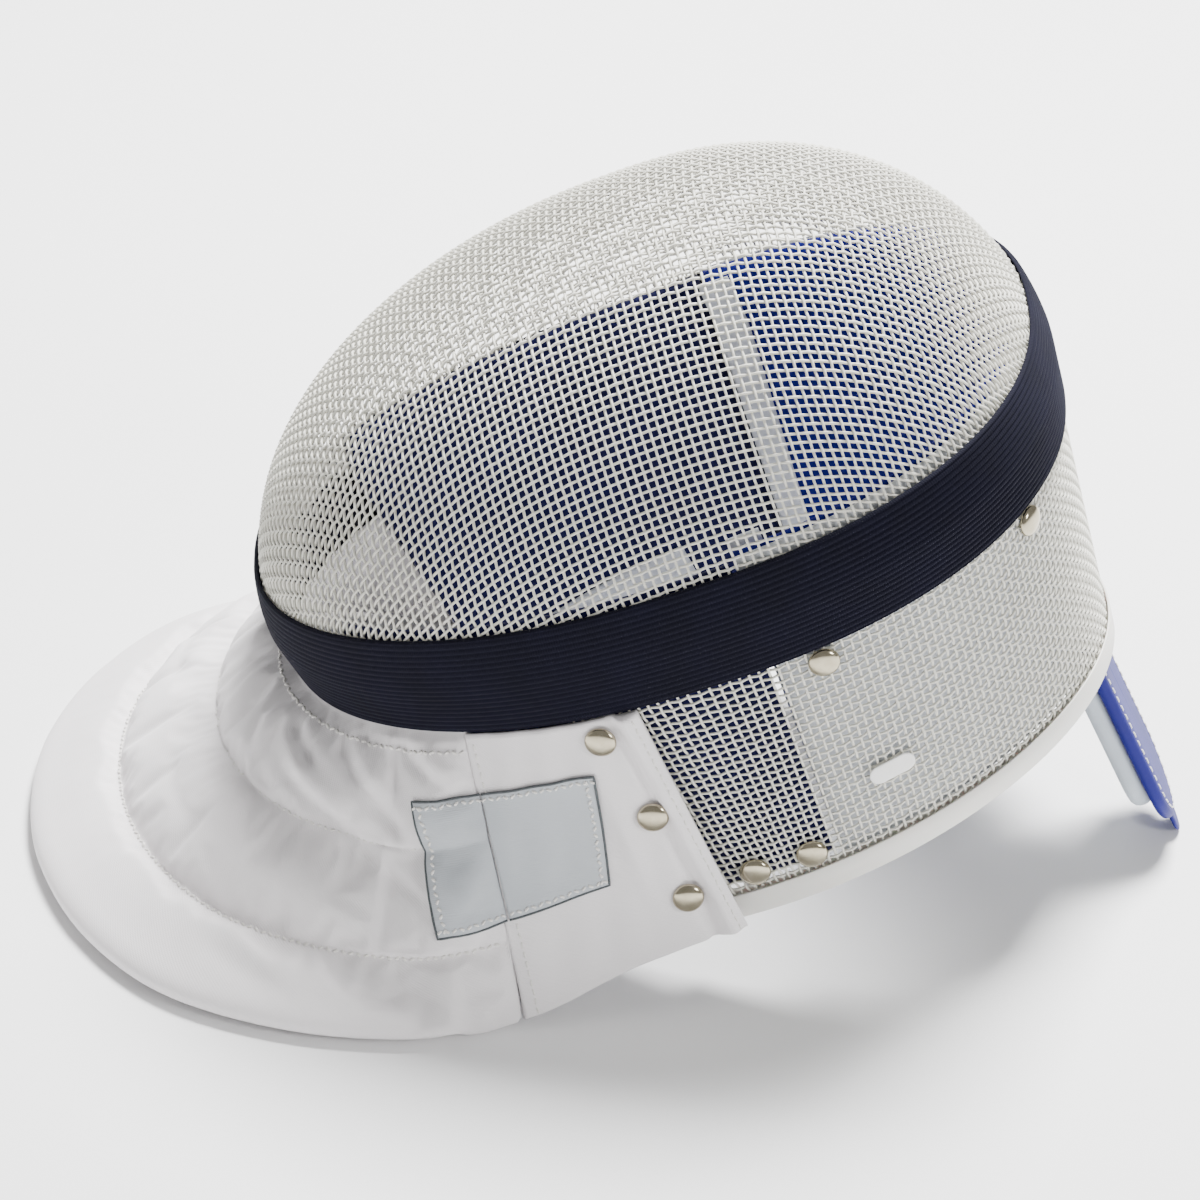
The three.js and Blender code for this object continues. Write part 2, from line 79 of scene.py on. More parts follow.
def new_material(name, settings):
    """A Principled material with its plain values set on the shader's own sockets."""
    made = bpy.data.materials.new(name)
    made.use_nodes = True
    shader = made.node_tree.nodes["Principled BSDF"]
    for key, value in settings.items():
        shader.inputs[key].default_value = value
    return made, shader


def mottled(name, dark, pale, scale, detail, settings):
    """A material whose colour drifts between two tones by noise on the object's own place. Gives
    the material, its coordinates and the noise."""
    made, shader = new_material(name, settings)
    place = node(made, "ShaderNodeTexCoord")
    noise = node(made, "ShaderNodeTexNoise", {"Scale": scale, "Detail": detail},
                 {"Vector": place.outputs["Object"]})
    tone = node(made, "ShaderNodeMix", {"data_type": "RGBA", 6: linear(dark), 7: linear(pale)},
                {0: noise.outputs["Fac"]})
    made.node_tree.links.new(tone.outputs[2], shader.inputs["Base Color"])
    return made, place, noise


floor_material, _, _ = mottled("white_paper_sweep", "#f4f4f4", "#f7f7f7", 3.0, 2.0, {"Roughness": 0.9})
floor_mesh = bpy.data.meshes.new("studio_floor")
floor_mesh.from_pydata([(-6, -6, 0), (6, -6, 0), (6, 6, 0), (-6, 6, 0)], [], [(0, 1, 2, 3)])
floor = bpy.data.objects.new("studio_floor", floor_mesh)
floor_mesh.materials.append(floor_material)
bpy.context.scene.collection.objects.link(floor)

LAMP_AIM = (0.0, 0.0, 0.1)
for lamp_name, lamp_place, lamp_size, lamp_power in (
    ("lamp_above", (0.35, 0.75, 1.8), 0.7, 170),
    ("lamp_front", (1.9, -1.5, 1.2), 0.6, 34),
    ("lamp_left", (-2.0, -0.3, 0.7), 1.0, 2),
):
    lamp = bpy.data.objects.new(lamp_name, bpy.data.lights.new(lamp_name, "AREA"))
    lamp.data.size = lamp_size
    lamp.data.energy = lamp_power
    lamp.location = lamp_place
    way = Vector(LAMP_AIM) - Vector(lamp_place)
    lamp.rotation_euler = way.to_track_quat("-Z", "Y").to_euler()
    bpy.context.scene.collection.objects.link(lamp)

world = bpy.data.worlds.new("studio")
world.use_nodes = True
world.node_tree.nodes["Background"].inputs["Color"].default_value = (1, 1, 1, 1)
world.node_tree.nodes["Background"].inputs["Strength"].default_value = 0.42
bpy.context.scene.world = world


# Front mesh: 1 mm stainless wire in a plain weave, pressed into a dome over the face and then
# coated with pale epoxy. The wires from ear to ear lie in upright planes; the wires from chin to
# crown part as the dome widens, and both keep their 3.1 mm spacing along the dome.
FACE_LENGTH = 293.0
MIDDLE = FACE_LENGTH / 2
HALF_WIDTH = 105.0
OUTLINE_POWER = 2.36
SEAM_DROP = 7.0
DOME_HEIGHT = 107.0
DOME_POWER = 1.95
APEX = 0.59 * FACE_LENGTH
TILT = math.radians(22.9)
REST_HEIGHT = 148.0
FLOOR_SHIFT = 7.3
WIRE_PITCH = 3.1
WIRE_RADIUS = 0.5
WIRE_SIDES = 5
MESH_INSET = 2.9


def seam_line(angle, inset):
    """The seam seen from the front, an egg-shaped superellipse. Angle 0 is the chin, a quarter
    turn the wearer's left side, a half turn the crown. It drops towards the ears."""
    across = np.sign(np.sin(angle)) * np.abs(np.sin(angle)) ** (2 / OUTLINE_POWER)
    along = -np.sign(np.cos(angle)) * np.abs(np.cos(angle)) ** (2 / OUTLINE_POWER)
    return np.stack(np.broadcast_arrays(
        MIDDLE + along * (MIDDLE - inset),
        -across * (1 - 0.1 * np.cos(angle)) * (HALF_WIDTH - inset),
        -SEAM_DROP * (1 - along ** 2),
    ), -1)


def laid(points):
    """From the mask's own frame in mm (x from chin to crown, y to the wearer's right, z out of
    the face) to the floor: turned back by the tilt about the seam's middle, lifted, in metres."""
    x = points[..., 0] - MIDDLE
    z = points[..., 2]
    return np.stack([
        x * math.cos(TILT) - z * math.sin(TILT) + FLOOR_SHIFT,
        points[..., 1],
        x * math.sin(TILT) + z * math.cos(TILT) + REST_HEIGHT,
    ], -1) / 1000


def unit(vectors):
    """Each vector divided by its length."""
    return vectors / np.maximum(np.linalg.norm(vectors, axis=-1, keepdims=True), 1e-9)


def surface_normals(grid):
    """Cross product of the grid's two central differences."""
    return unit(np.cross(np.gradient(grid, axis=0), np.gradient(grid, axis=1)))


def new_piece(name, vertices, faces, material, uv=None):
    """A mesh object of the mask, riding on its one body, with faces shaded smooth."""
    mesh = bpy.data.meshes.new(name)
    mesh.from_pydata(vertices.reshape(-1, 3).tolist(), [], faces)
    if uv is not None:
        layer = mesh.uv_layers.new(name="surface")
        corners = np.zeros(len(mesh.loops), dtype=np.int32)
        mesh.loops.foreach_get("vertex_index", corners)
        layer.data.foreach_set("uv", uv.reshape(-1, 2)[corners].astype(np.float32).ravel())
    mesh.polygons.foreach_set("use_smooth", [True] * len(mesh.polygons))
    mesh.materials.append(material)
    made = bpy.data.objects.new(name, mesh)
    bpy.context.scene.collection.objects.link(made)
    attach(made, "root")
    return made


def wire_tubes(path, normal, used, sides):
    """Tubes along the rows of a grid of points, wherever the points are used. Each point carries
    a ring of wire radius in the plane of the surface normal and the side direction; rings are
    joined where both are used, and each run of rings ends in a flat cap."""
    ahead = unit(np.gradient(path, axis=1))
    side = unit(np.cross(ahead, normal))
    up = np.cross(side, ahead)
    turn = np.arange(sides) * 2 * math.pi / sides
    ring = (np.cos(turn)[:, None] * side[..., None, :] + np.sin(turn)[:, None] * up[..., None, :])
    points = path[..., None, :] + WIRE_RADIUS * ring
    number = np.cumsum(used.ravel()).reshape(used.shape) - 1
    vertices = points[used].reshape(-1, 3)
    k = np.arange(sides)
    joined = used[:, :-1] & used[:, 1:]
    here = number[:, :-1][joined][:, None] * sides
    there = number[:, 1:][joined][:, None] * sides
    faces = np.stack([here + k, here + (k + 1) % sides, there + (k + 1) % sides, there + k], -1)
    padded_use = np.pad(used, ((0, 0), (1, 1)))
    first = used & ~padded_use[:, :-2]
    last = used & ~padded_use[:, 2:]
    start_caps = number[first][:, None] * sides + k[::-1]
    end_caps = number[last][:, None] * sides + k
    return vertices, faces.reshape(-1, 4).tolist() + start_caps.tolist() + end_caps.tolist()


def woven(name, grid, normal, inside, material):
    """The two families of wires of a mesh. At every second crossing the first family passes over
    the second, half a wire above the middle surface, and at the others under it."""
    rows, columns = inside.shape
    over = np.where((np.add.outer(np.arange(rows), np.arange(columns)) % 2) == 0, 1.0, -1.0)
    for family, turned, sign in (("across", False, 1), ("along", True, -1)):
        points = np.swapaxes(grid, 0, 1) if turned else grid
        out = np.swapaxes(normal, 0, 1) if turned else normal
        kept = inside.T if turned else inside
        wave = (over.T if turned else over) * sign * WIRE_RADIUS
        count = points.shape[1]
        path = np.zeros((points.shape[0], 2 * count - 1, 3))
        path[:, ::2] = points + wave[..., None] * out
        path[:, 1::2] = (points[:, 1:] + points[:, :-1]) / 2
        normals = np.zeros_like(path)
        normals[:, ::2] = out
        normals[:, 1::2] = unit(out[:, 1:] + out[:, :-1])
        use = np.zeros(path.shape[:2], dtype=bool)
        use[:, ::2] = kept
        use[:, 1::2] = kept[:, 1:] & kept[:, :-1]
        lonely = kept & ~np.pad(kept, ((0, 0), (0, 1)))[:, 1:] & ~np.pad(kept, ((0, 0), (1, 0)))[:, :-1]
        use[:, ::2] &= ~lonely
        vertices, faces = wire_tubes(path, normals, use, WIRE_SIDES)
        piece = new_piece(f"{name}_wires_{family}", laid(vertices), faces, material)
        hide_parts(name)


def dome_height(x, y, inset):
    """Height of the dome over a point seen from the front. The point's distance from the apex,
    as a share of the seam's distance in the same direction, gives the fall along a
    superellipse; the seam's own drop fades in towards the rim."""
    angle = np.linspace(0, math.pi, 1441)
    line = seam_line(angle, inset)
    way = np.arctan2(-line[:, 1], line[:, 0] - APEX)
    order = np.argsort(way)
    reach = np.hypot(line[:, 0] - APEX, line[:, 1])
    toward = np.arctan2(np.abs(y), x - APEX)
    spread = np.hypot(x - APEX, y) / np.interp(toward, way[order], reach[order])
    spread = np.clip(spread, 0, 1)
    rise = (1 - spread ** DOME_POWER) ** (1 / DOME_POWER)
    return np.interp(toward, way[order], line[order, 2]) * (1 - rise) + rise * (DOME_HEIGHT - inset)


def dome_lattice():
    """Crossings of the front mesh. Planes from ear to ear are spaced evenly along the middle
    line from chin to crown; in each, crossings are spaced evenly from the middle line."""
    x = MIDDLE - np.cos(np.linspace(0, math.pi, 1200)) * (MIDDLE - MESH_INSET)
    z = dome_height(x, np.zeros_like(x), MESH_INSET)
    run = np.concatenate([[0], np.cumsum(np.hypot(np.diff(x), np.diff(z)))])
    plane_x = np.interp(np.arange(WIRE_PITCH, run[-1] - WIRE_PITCH / 2, WIRE_PITCH), run, x)
    outline = seam_line(np.linspace(0, math.pi, 1441), MESH_INSET)
    reach = np.interp(plane_x, outline[:, 0], -outline[:, 1])
    y = reach[:, None] * np.sin(np.linspace(0, math.pi / 2, 240))
    height = dome_height(np.broadcast_to(plane_x[:, None], y.shape), y, MESH_INSET)
    arc = np.cumsum(np.hypot(np.diff(y, axis=1), np.diff(height, axis=1)), axis=1)
    arc = np.pad(arc, ((0, 0), (1, 0)))
    place = np.arange(0, 62) * WIRE_PITCH
    half_y = np.stack([np.interp(place, a, b) for a, b in zip(arc, y)])
    half_z = np.stack([np.interp(place, a, b) for a, b in zip(arc, height)])
    half_in = (place[None, :] <= arc[:, -1:] - 0.5 * WIRE_PITCH) & (half_z > 2)
    grid_y = np.concatenate([-half_y[:, :0:-1], half_y], axis=1)
    grid_z = np.concatenate([half_z[:, :0:-1], half_z], axis=1)
    grid_x = np.broadcast_to(plane_x[:, None], grid_y.shape)
    inside = np.concatenate([half_in[:, :0:-1], half_in], axis=1)
    return np.stack([grid_x, grid_y, grid_z], -1), inside


# Epoxy-coated stainless wire: a thin off-white coat, satin, a little thinner and greyer on some
# stretches, which shows as soft light lines with grey undersides.
wire_material, wire_place, _ = mottled("epoxy_coated_wire", "#d3d1c6", "#e6e4da", 90.0, 3.0, {
    "Roughness": 0.42, "IOR": 1.5, "Specular IOR Level": 0.5,
})
wire_grain = node(wire_material, "ShaderNodeTexNoise", {"Scale": 1400.0, "Detail": 2.0},
                  {"Vector": wire_place.outputs["Object"]})
node(wire_material, "ShaderNodeBump", {"Strength": 0.15, "Distance": 0.0002},
     {"Height": wire_grain.outputs["Fac"]}, "Normal")

dome_grid, dome_inside = dome_lattice()
dome_normal = surface_normals(dome_grid)
dome_normal *= np.sign(dome_normal[..., 2:3] + 1e-6)
woven("front_mesh", dome_grid, dome_normal, dome_inside, wire_material)

# Rear mesh: one strip of the same wire bent round the sides and the crown. Its long wires run
# level round the head and its short ones run down to the rim.
RIM_MIDDLE = 150.0
RIM_HALF_LENGTH = 129.0
RIM_HALF_WIDTH = 98.0
RIM_DEPTH = 126.0
CROWN_RIM_DEPTH = 118.0
REAR_START = math.radians(74)


def rim_line(angle, inset):
    """The rim of the head opening at an angle: an ellipse, a little less deep at the crown."""
    rise = ((1 - np.cos(angle)) / 2) ** 2
    return np.stack(np.broadcast_arrays(
        RIM_MIDDLE - np.cos(angle) * (RIM_HALF_LENGTH - inset),
        -np.sin(angle) * (RIM_HALF_WIDTH - inset),
        -RIM_DEPTH + (RIM_DEPTH - CROWN_RIM_DEPTH) * rise,
    ), -1)


def wall(angle, height, inset):
    """The mask's side at a height over the seam: above it the dome's superellipse, below it a
    straight line from the seam to the rim."""
    angle, height, inset = np.broadcast_arrays(angle, height, inset)
    top = seam_line(angle, inset)
    bottom = rim_line(angle, inset)
    down = top + (bottom - top) * (height / (bottom[..., 2] - top[..., 2]))[..., None]
    rise = np.clip(height / (DOME_HEIGHT - inset), 0, 1)
    spread = (1 - rise ** DOME_POWER) ** (1 / DOME_POWER)
    above = np.stack([
        APEX + (top[..., 0] - APEX) * spread,
        top[..., 1] * spread,
        top[..., 2] * (1 - rise) + height,
    ], -1)
    return np.where((height >= 0)[..., None], above, down)


def depth_at(angle):
    """Depth of the rim below the seam at an angle."""
    return seam_line(angle, 0.0)[..., 2] - rim_line(angle, 0.0)[..., 2]


def run_along(path):
    """Length of a path of points up to each of its points."""
    return np.concatenate([[0], np.cumsum(np.linalg.norm(np.diff(path, axis=0), axis=1))])


def evenly(path, spacing):
    """Shares of the way along a path of points at which marks at an even spacing fall."""
    run = run_along(path)
    count = int(run[-1] / spacing)
    marks = (run[-1] - count * spacing) / 2 + np.arange(count + 1) * spacing
    return np.interp(marks, run, np.linspace(0, 1, len(path)))


fine_angle = np.linspace(REAR_START, 2 * math.pi - REAR_START, 1600)
rear_angle = REAR_START + evenly(wall(fine_angle, -60.0, MESH_INSET), WIRE_PITCH) * (
    2 * math.pi - 2 * REAR_START)
rear_share = np.linspace(0.012, 0.985, 40)
rear_grid = wall(rear_angle[None, :], -rear_share[:, None] * depth_at(rear_angle)[None, :], MESH_INSET)
rear_normal = surface_normals(rear_grid)
outward = np.stack([-np.cos(rear_angle), -np.sin(rear_angle), np.zeros_like(rear_angle)], -1)
rear_normal *= np.sign(np.sum(rear_normal * outward, -1, keepdims=True))
woven("rear_mesh", rear_grid, rear_normal, np.ones(rear_grid.shape[:2], bool), wire_material)

# Rim trim: a U-shaped strip of soft white PVC pushed over the raw edge of the rear mesh. It is
# extruded, so it is smooth along its length, with a slightly waxy satin skin.
TRIM_COVER = 9.0
TRIM_WALL = 0.9
TRIM_OUTSIDE = 0.7
TRIM_INSIDE = 5.1


def swept(sections, closed):
    """Faces that join a grid of closed sections in order. A run that isn't closed gets an end
    face at both ends."""
    count, ring = sections.shape[:2]
    joins = count if closed else count - 1
    i = np.arange(joins)[:, None]
    k = np.arange(ring)[None, :]
    after = (i + 1) % count
    up = (k + 1) % ring
    faces = np.stack([i * ring + k, after * ring + k, after * ring + up, i * ring + up], -1)
    faces = faces.reshape(-1, 4).tolist()
    if not closed:
        faces.append(list(range(ring)))
        faces.append(list(range(count * ring - 1, (count - 1) * ring - 1, -1)))
    return faces


def closed_volume(vertices, faces):
    """Volume inside a closed mesh: a sum of pyramids from the origin over its faces' fans."""
    total = 0.0
    for face in faces:
        fan = vertices[np.array(face)]
        total += np.sum(fan[0] * np.cross(fan[1:-1], fan[2:]))
    return total


def tube_piece(name, sections, closed, material, uv=None):
    """A closed sweep of sections, its faces turned outwards."""
    vertices = sections.reshape(-1, 3)
    faces = swept(sections, closed)
    if closed_volume(vertices, faces) < 0:
        faces = [face[::-1] for face in faces]
    return new_piece(name, vertices, faces, material, uv=uv)


def trim_profile():
    """Cross-section of the trim: down the outside, half round the foot, up the inside and back
    along the slot. Each point is (height above the wire's end, inset)."""
    turn = np.linspace(0, math.pi, 9)
    half = (TRIM_INSIDE - TRIM_OUTSIDE) / 2
    centre = (TRIM_INSIDE + TRIM_OUTSIDE) / 2
    foot = np.stack([-0.3 - TRIM_WALL * np.sin(turn), centre - half * np.cos(turn)], -1)
    near = TRIM_COVER - 0.3
    outside = [(near, TRIM_OUTSIDE), (TRIM_COVER * 0.5, TRIM_OUTSIDE)]
    inside = [(TRIM_COVER * 0.5, TRIM_INSIDE), (near, TRIM_INSIDE)]
    inner_lip = [(TRIM_COVER, TRIM_INSIDE - 0.25), (TRIM_COVER, TRIM_INSIDE - 0.65)]
    slot = [(near, TRIM_INSIDE - TRIM_WALL), (0.0, TRIM_INSIDE - TRIM_WALL),
            (0.0, TRIM_OUTSIDE + TRIM_WALL), (near, TRIM_OUTSIDE + TRIM_WALL)]
    outer_lip = [(TRIM_COVER, TRIM_OUTSIDE + 0.65), (TRIM_COVER, TRIM_OUTSIDE + 0.25)]
    return np.concatenate([outside, foot, inside, inner_lip, slot, outer_lip])


# White PVC edging: smooth and waxy, slightly warm, with a faint long grain from the die.
trim_material, _, trim_cloud = mottled("white_pvc_edging", "#dddad3", "#e8e6e1", 40.0, 3.0, {
    "Roughness": 0.38, "IOR": 1.53, "Subsurface Weight": 0.08, "Subsurface Scale": 0.002,
})
node(trim_material, "ShaderNodeBump", {"Strength": 0.12, "Distance": 0.0005},
     {"Height": trim_cloud.outputs["Fac"]}, "Normal")

trim_angle = np.linspace(REAR_START, 2 * math.pi - REAR_START, 260)
trim_shape = trim_profile()
trim_sections = wall(
    trim_angle[:, None], trim_shape[None, :, 0] - depth_at(trim_angle)[:, None], trim_shape[None, :, 1])
rim_trim = tube_piece("rim_trim_edging", laid(trim_sections), False, trim_material)
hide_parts("rim_trim")

# Elastic band: a loop of navy ribbed elastic, 38 mm wide, stretched over the seam of the two
# meshes. It is knitted with about twenty ribs along its length, and is matt and very dark.
BAND_HALF = 19.0
BAND_THICKNESS = 1.6
BAND_RIBS = 19


def band_profile():
    """Cross-section of the band as (height, inset): ribs as rectified sine waves on the outside,
    thin rounded selvedges, and a flat back."""
    across = np.linspace(1, -1, BAND_RIBS * 6 + 1)
    rib = np.abs(np.sin(across * math.pi * BAND_RIBS / 2)) ** 0.7
    selvedge = np.clip((1 - np.abs(across)) / 0.03, 0, 1) ** 0.5
    outer = np.stack([across * BAND_HALF, BAND_THICKNESS - (BAND_THICKNESS - 0.5 + 0.5 * rib) * (
        0.35 + 0.65 * selvedge)], -1)
    back = np.linspace(-1, 1, 9)
    return np.concatenate([outer, np.stack([back * BAND_HALF, np.full(9, BAND_THICKNESS)], -1)])


# Rib-knitted polyester elastic: dull navy yarn that fuzzes slightly, so it keeps a soft rim light;
# the furrows between ribs are darker, and the knit shows as fine cross lines 0.9 mm apart.
band_material, band_place, _ = mottled("navy_rib_elastic", "#040410", "#0a0a1e", 60.0, 4.0, {
    "Roughness": 0.9, "Specular IOR Level": 0.2, "Sheen Weight": 0.08, "Sheen Roughness": 0.5,
    "Sheen Tint": linear("#3a3d66"),
})
band_knit = node(band_material, "ShaderNodeTexWave", {
    "wave_type": "BANDS", "bands_direction": "X", "Scale": 355.0, "Distortion": 1.5,
    "Detail": 2.0, "Detail Scale": 2.0,
}, {"Vector": band_place.outputs["UV"]})
node(band_material, "ShaderNodeBump", {"Strength": 0.35, "Distance": 0.0003},
     {"Height": band_knit.outputs["Fac"]}, "Normal")

band_angle = np.linspace(0, 2 * math.pi, 360, endpoint=False)
band_shape = band_profile()
band_sections = wall(band_angle[:, None], band_shape[None, :, 0], band_shape[None, :, 1])
band_run = run_along(band_sections[:, 0])
band_map = np.stack(np.broadcast_arrays(band_run[:, None], band_shape[None, :, 0]), -1) / 1000
band = tube_piece("ribbed_elastic_band", laid(band_sections), True, band_material, uv=band_map)
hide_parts("elastic_band")

# Bib: a collar of white cotton-polyester twill over foam, stitched into three channels that run
# round the throat, and sewn along its upper edge under the band. It is made from a slack shape,
# held along its stitching while cloth simulation swells the channels.
BIB_HEM = 3.0
BIB_REACH = 132.0
BIB_HALF_WIDTH = 136.0
BIB_MIDDLE = 61.0
BIB_DROP = 112.0
BIB_SEAM = 58.5
SEAM_GAP = 0.15
DEGREE_LENGTH = 2.6
BIB_COLUMNS = 171
FACE_ROW = 20
FLAP_START = BIB_SEAM - 0.3
FLAP_END = 83.5
FLAP_THICKNESS = 2.8
FLAP_LIFT = 29.0
FLATTENING = 1.6
CHANNEL_ENDS = (0.0, 0.36, 0.72, 1.0)
BIB_EDGE = np.array([
    [-10, 0.965, -0.29, 0.0], [0, 1.0, 0.0, 0.0], [10, 0.965, 0.29, 0.0], [20, 0.84, 0.59, 0.0],
    [30, 0.62, 0.84, 0.0], [40, 0.3, 0.975, 0.0], [50, -0.04, 0.995, 0.0],
    [BIB_SEAM, -0.33, 0.915, 0.1], [70, -0.6, 0.8099, 0.5], [FLAP_END, -0.9, 0.7551, 1.0],
])


def to_floor(points):
    """From the mask's own frame to an upright one whose floor is at z = 0, in mm."""
    return laid(points) * 1000 - np.array([FLOOR_SHIFT, 0, 0])


def from_floor(points):
    """Back from the upright frame to the mask's own, in mm."""
    z = points[..., 2] - REST_HEIGHT
    return np.stack([
        points[..., 0] * math.cos(TILT) + z * math.sin(TILT) + MIDDLE,
        points[..., 1],
        -points[..., 0] * math.sin(TILT) + z * math.cos(TILT),
    ], -1)


def bib_edge(degrees):
    """The outer edge of the bib and flaps: cubic Hermite curves through the rows of BIB_EDGE,
    mirrored on the other side. Columns: angle, reach ahead, reach aside, lift above the floor."""
    knots = BIB_EDGE[:, 0]
    slope = (BIB_EDGE[2:, 1:] - BIB_EDGE[:-2, 1:]) / (knots[2:] - knots[:-2])[:, None]
    final = (BIB_EDGE[-1:, 1:] - BIB_EDGE[-2:-1, 1:]) / (knots[-1] - knots[-2])
    slope = np.concatenate([slope[:1], slope, final])
    size = np.abs(degrees)
    i = np.clip(np.searchsorted(knots, size, side="right") - 1, 1, len(knots) - 2)
    span = knots[i + 1] - knots[i]
    t = ((size - knots[i]) / span)[..., None]
    blend = 2 * t ** 3 - 3 * t ** 2 + 1
    value = (blend * BIB_EDGE[i, 1:] + (1 - blend) * BIB_EDGE[i + 1, 1:]
             + (t ** 3 - 2 * t ** 2 + t) * slope[i] * span[..., None]
             + (t ** 3 - t ** 2) * slope[i + 1] * span[..., None])
    return from_floor(np.stack([
        BIB_MIDDLE - MIDDLE - value[..., 0] * BIB_REACH,
        -np.sign(degrees) * value[..., 1] * BIB_HALF_WIDTH,
        BIB_HEM / 2 - FLATTENING + np.maximum(value[..., 2], 0) * FLAP_LIFT,
    ], -1))


def bib_middle(degrees, v):
    """Middle surface of the cloth: a parabola from the band (v 0) through a knee to the outer
    edge (v 1). The padded collar leaves the band steeply; the flaps hang straighter. Below v 0
    it turns inwards and up behind the band's edge."""
    degrees, v = np.broadcast_arrays(degrees, v)
    near = np.clip((np.abs(degrees) - (BIB_SEAM - 14)) / 14, 0, 1)
    plain = (near * near * (3 - 2 * near))[..., None]
    tuck = np.clip(-v / 0.05, 0, 1)
    top = wall(np.radians(degrees), -BAND_HALF - 1.8 + 4.5 * tuck, -0.1 + 3.0 * np.minimum(3 * tuck, 1))
    v = np.maximum(v, 0)
    edge = bib_edge(degrees)
    share = np.concatenate([0.38 + 0.12 * plain, 0.38 + 0.12 * plain, 0.64 - 0.14 * plain], -1)
    knee = top + (edge - top) * share
    w = v[..., None]
    return (1 - w) ** 2 * top + 2 * w * (1 - w) * knee + w * w * edge


def bib_middle_straight(degrees, v):
    """The middle surface with its upper end carried on straight up to the band's edge."""
    step = bib_middle(degrees, 0.01 + 0 * v) - bib_middle(degrees, 0 * v)
    return bib_middle(degrees, np.maximum(v, 0)) + step * (np.minimum(v, 0) / 0.01)[..., None]


def bib_out(degrees, v):
    """Outward normal of the middle surface, from its two directions."""
    v = np.clip(v, 0, 0.99)
    round_it = bib_middle(degrees + 0.12, v) - bib_middle(degrees - 0.12, v)
    down = bib_middle(degrees, v + 0.01) - bib_middle(degrees, v)
    return unit(-np.cross(round_it, down))


def pressed(points):
    """Cloth pressed flat where it would go through the floor."""
    upright = to_floor(points)
    upright[..., 2] = np.maximum(upright[..., 2], 0)
    return from_floor(upright)


def bib_thickness(degrees, v, hem, pad):
    """Thickness of the quilting: a rounded swell in each channel, pinched at the stitching and
    towards the seams with the flaps. The last channel ends in a half-round fold, not a seam."""
    ends = np.array(CHANNEL_ENDS)
    i = np.clip(np.searchsorted(ends, v, side="right") - 1, 0, 2)
    share = np.clip((v - ends[i]) / (ends[i + 1] - ends[i]), 0, 1)
    puff = np.sin(math.pi * share) ** 0.6
    fold = np.sqrt(np.clip(1 - ((share - 0.78) / 0.22) ** 2, 0, 1))
    puff = np.where((i == 2) & (share > 0.5), np.where(share > 0.78, fold, 1.0), puff)
    hem = np.where((i == 2) & (share > 0.78), hem * fold + 0.05, hem)
    fade = np.sqrt(np.clip((BIB_SEAM - SEAM_GAP - np.abs(degrees)) / 6, 0, 1))
    return hem + (pad - hem) * puff * fade


# Creases seen in the cloth: from (degrees, share down) to (degrees, share down), depth, width.
CREASES = (
    (22.0, 0.10, 32.0, 0.19, 1.5, 2.6), (26.0, 0.24, 39.0, 0.35, 2.2, 3.0),
    (35.0, 0.10, 46.0, 0.30, 2.4, 3.2), (47.0, 0.05, 54.0, 0.16, 1.8, 2.6),
    (38.5, 0.37, 48.0, 0.50, 1.6, 3.6), (8.0, 0.52, 20.0, 0.56, 1.4, 4.0),
    (31.0, 0.83, 38.0, 0.90, 1.2, 3.6), (14.0, 0.12, 18.0, 0.30, 1.3, 3.0),
    (50.0, 0.42, 53.0, 0.66, 1.1, 4.0), (2.0, 0.10, 4.0, 0.31, 1.2, 3.4),
)


def puckers(degrees, v):
    """Height of what the stitching pulls into the cloth, in mm: short waves that fade within a
    few mm of each stitched line, and creases. A crease is a valley round a straight piece of
    line, with a rounded ridge beside it, and fades towards its ends."""
    run = degrees * DEGREE_LENGTH
    height = 0
    for line in (0.0, *CHANNEL_ENDS[1:3]):
        near = np.exp(-np.abs(v - line) / 0.05)
        height = height + 0.55 * near * np.sin(run * 0.95 + 1.6 * np.sin(run * 0.31)) * (
            0.6 + 0.4 * np.sin(run * 0.17))
    for turn_0, down_0, turn_1, down_1, depth, width in CREASES:
        start = np.array([turn_0 * DEGREE_LENGTH, down_0 * BIB_DROP])
        way = np.array([turn_1 * DEGREE_LENGTH, down_1 * BIB_DROP]) - start
        length = np.hypot(*way)
        x = np.abs(run) - start[0]
        y = v * BIB_DROP - start[1]
        along = (x * way[0] + y * way[1]) / length ** 2
        aside = (x * way[1] - y * way[0]) / length
        fade = np.exp(-(np.maximum(np.abs(along - 0.5) - 0.25, 0) / 0.28) ** 2)
        height = height - depth * fade * np.exp(-(aside / width) ** 2)
        height = height + 0.75 * depth * fade * np.exp(-((aside - 2.1 * width) / (1.3 * width)) ** 2)
    return height


def upward_normals(grid):
    """Normals of a cloth's upper face, turned so that one beside its middle column looks up."""
    normals = surface_normals(grid)
    return normals * np.sign(normals[len(grid) // 2, FACE_ROW, 2])


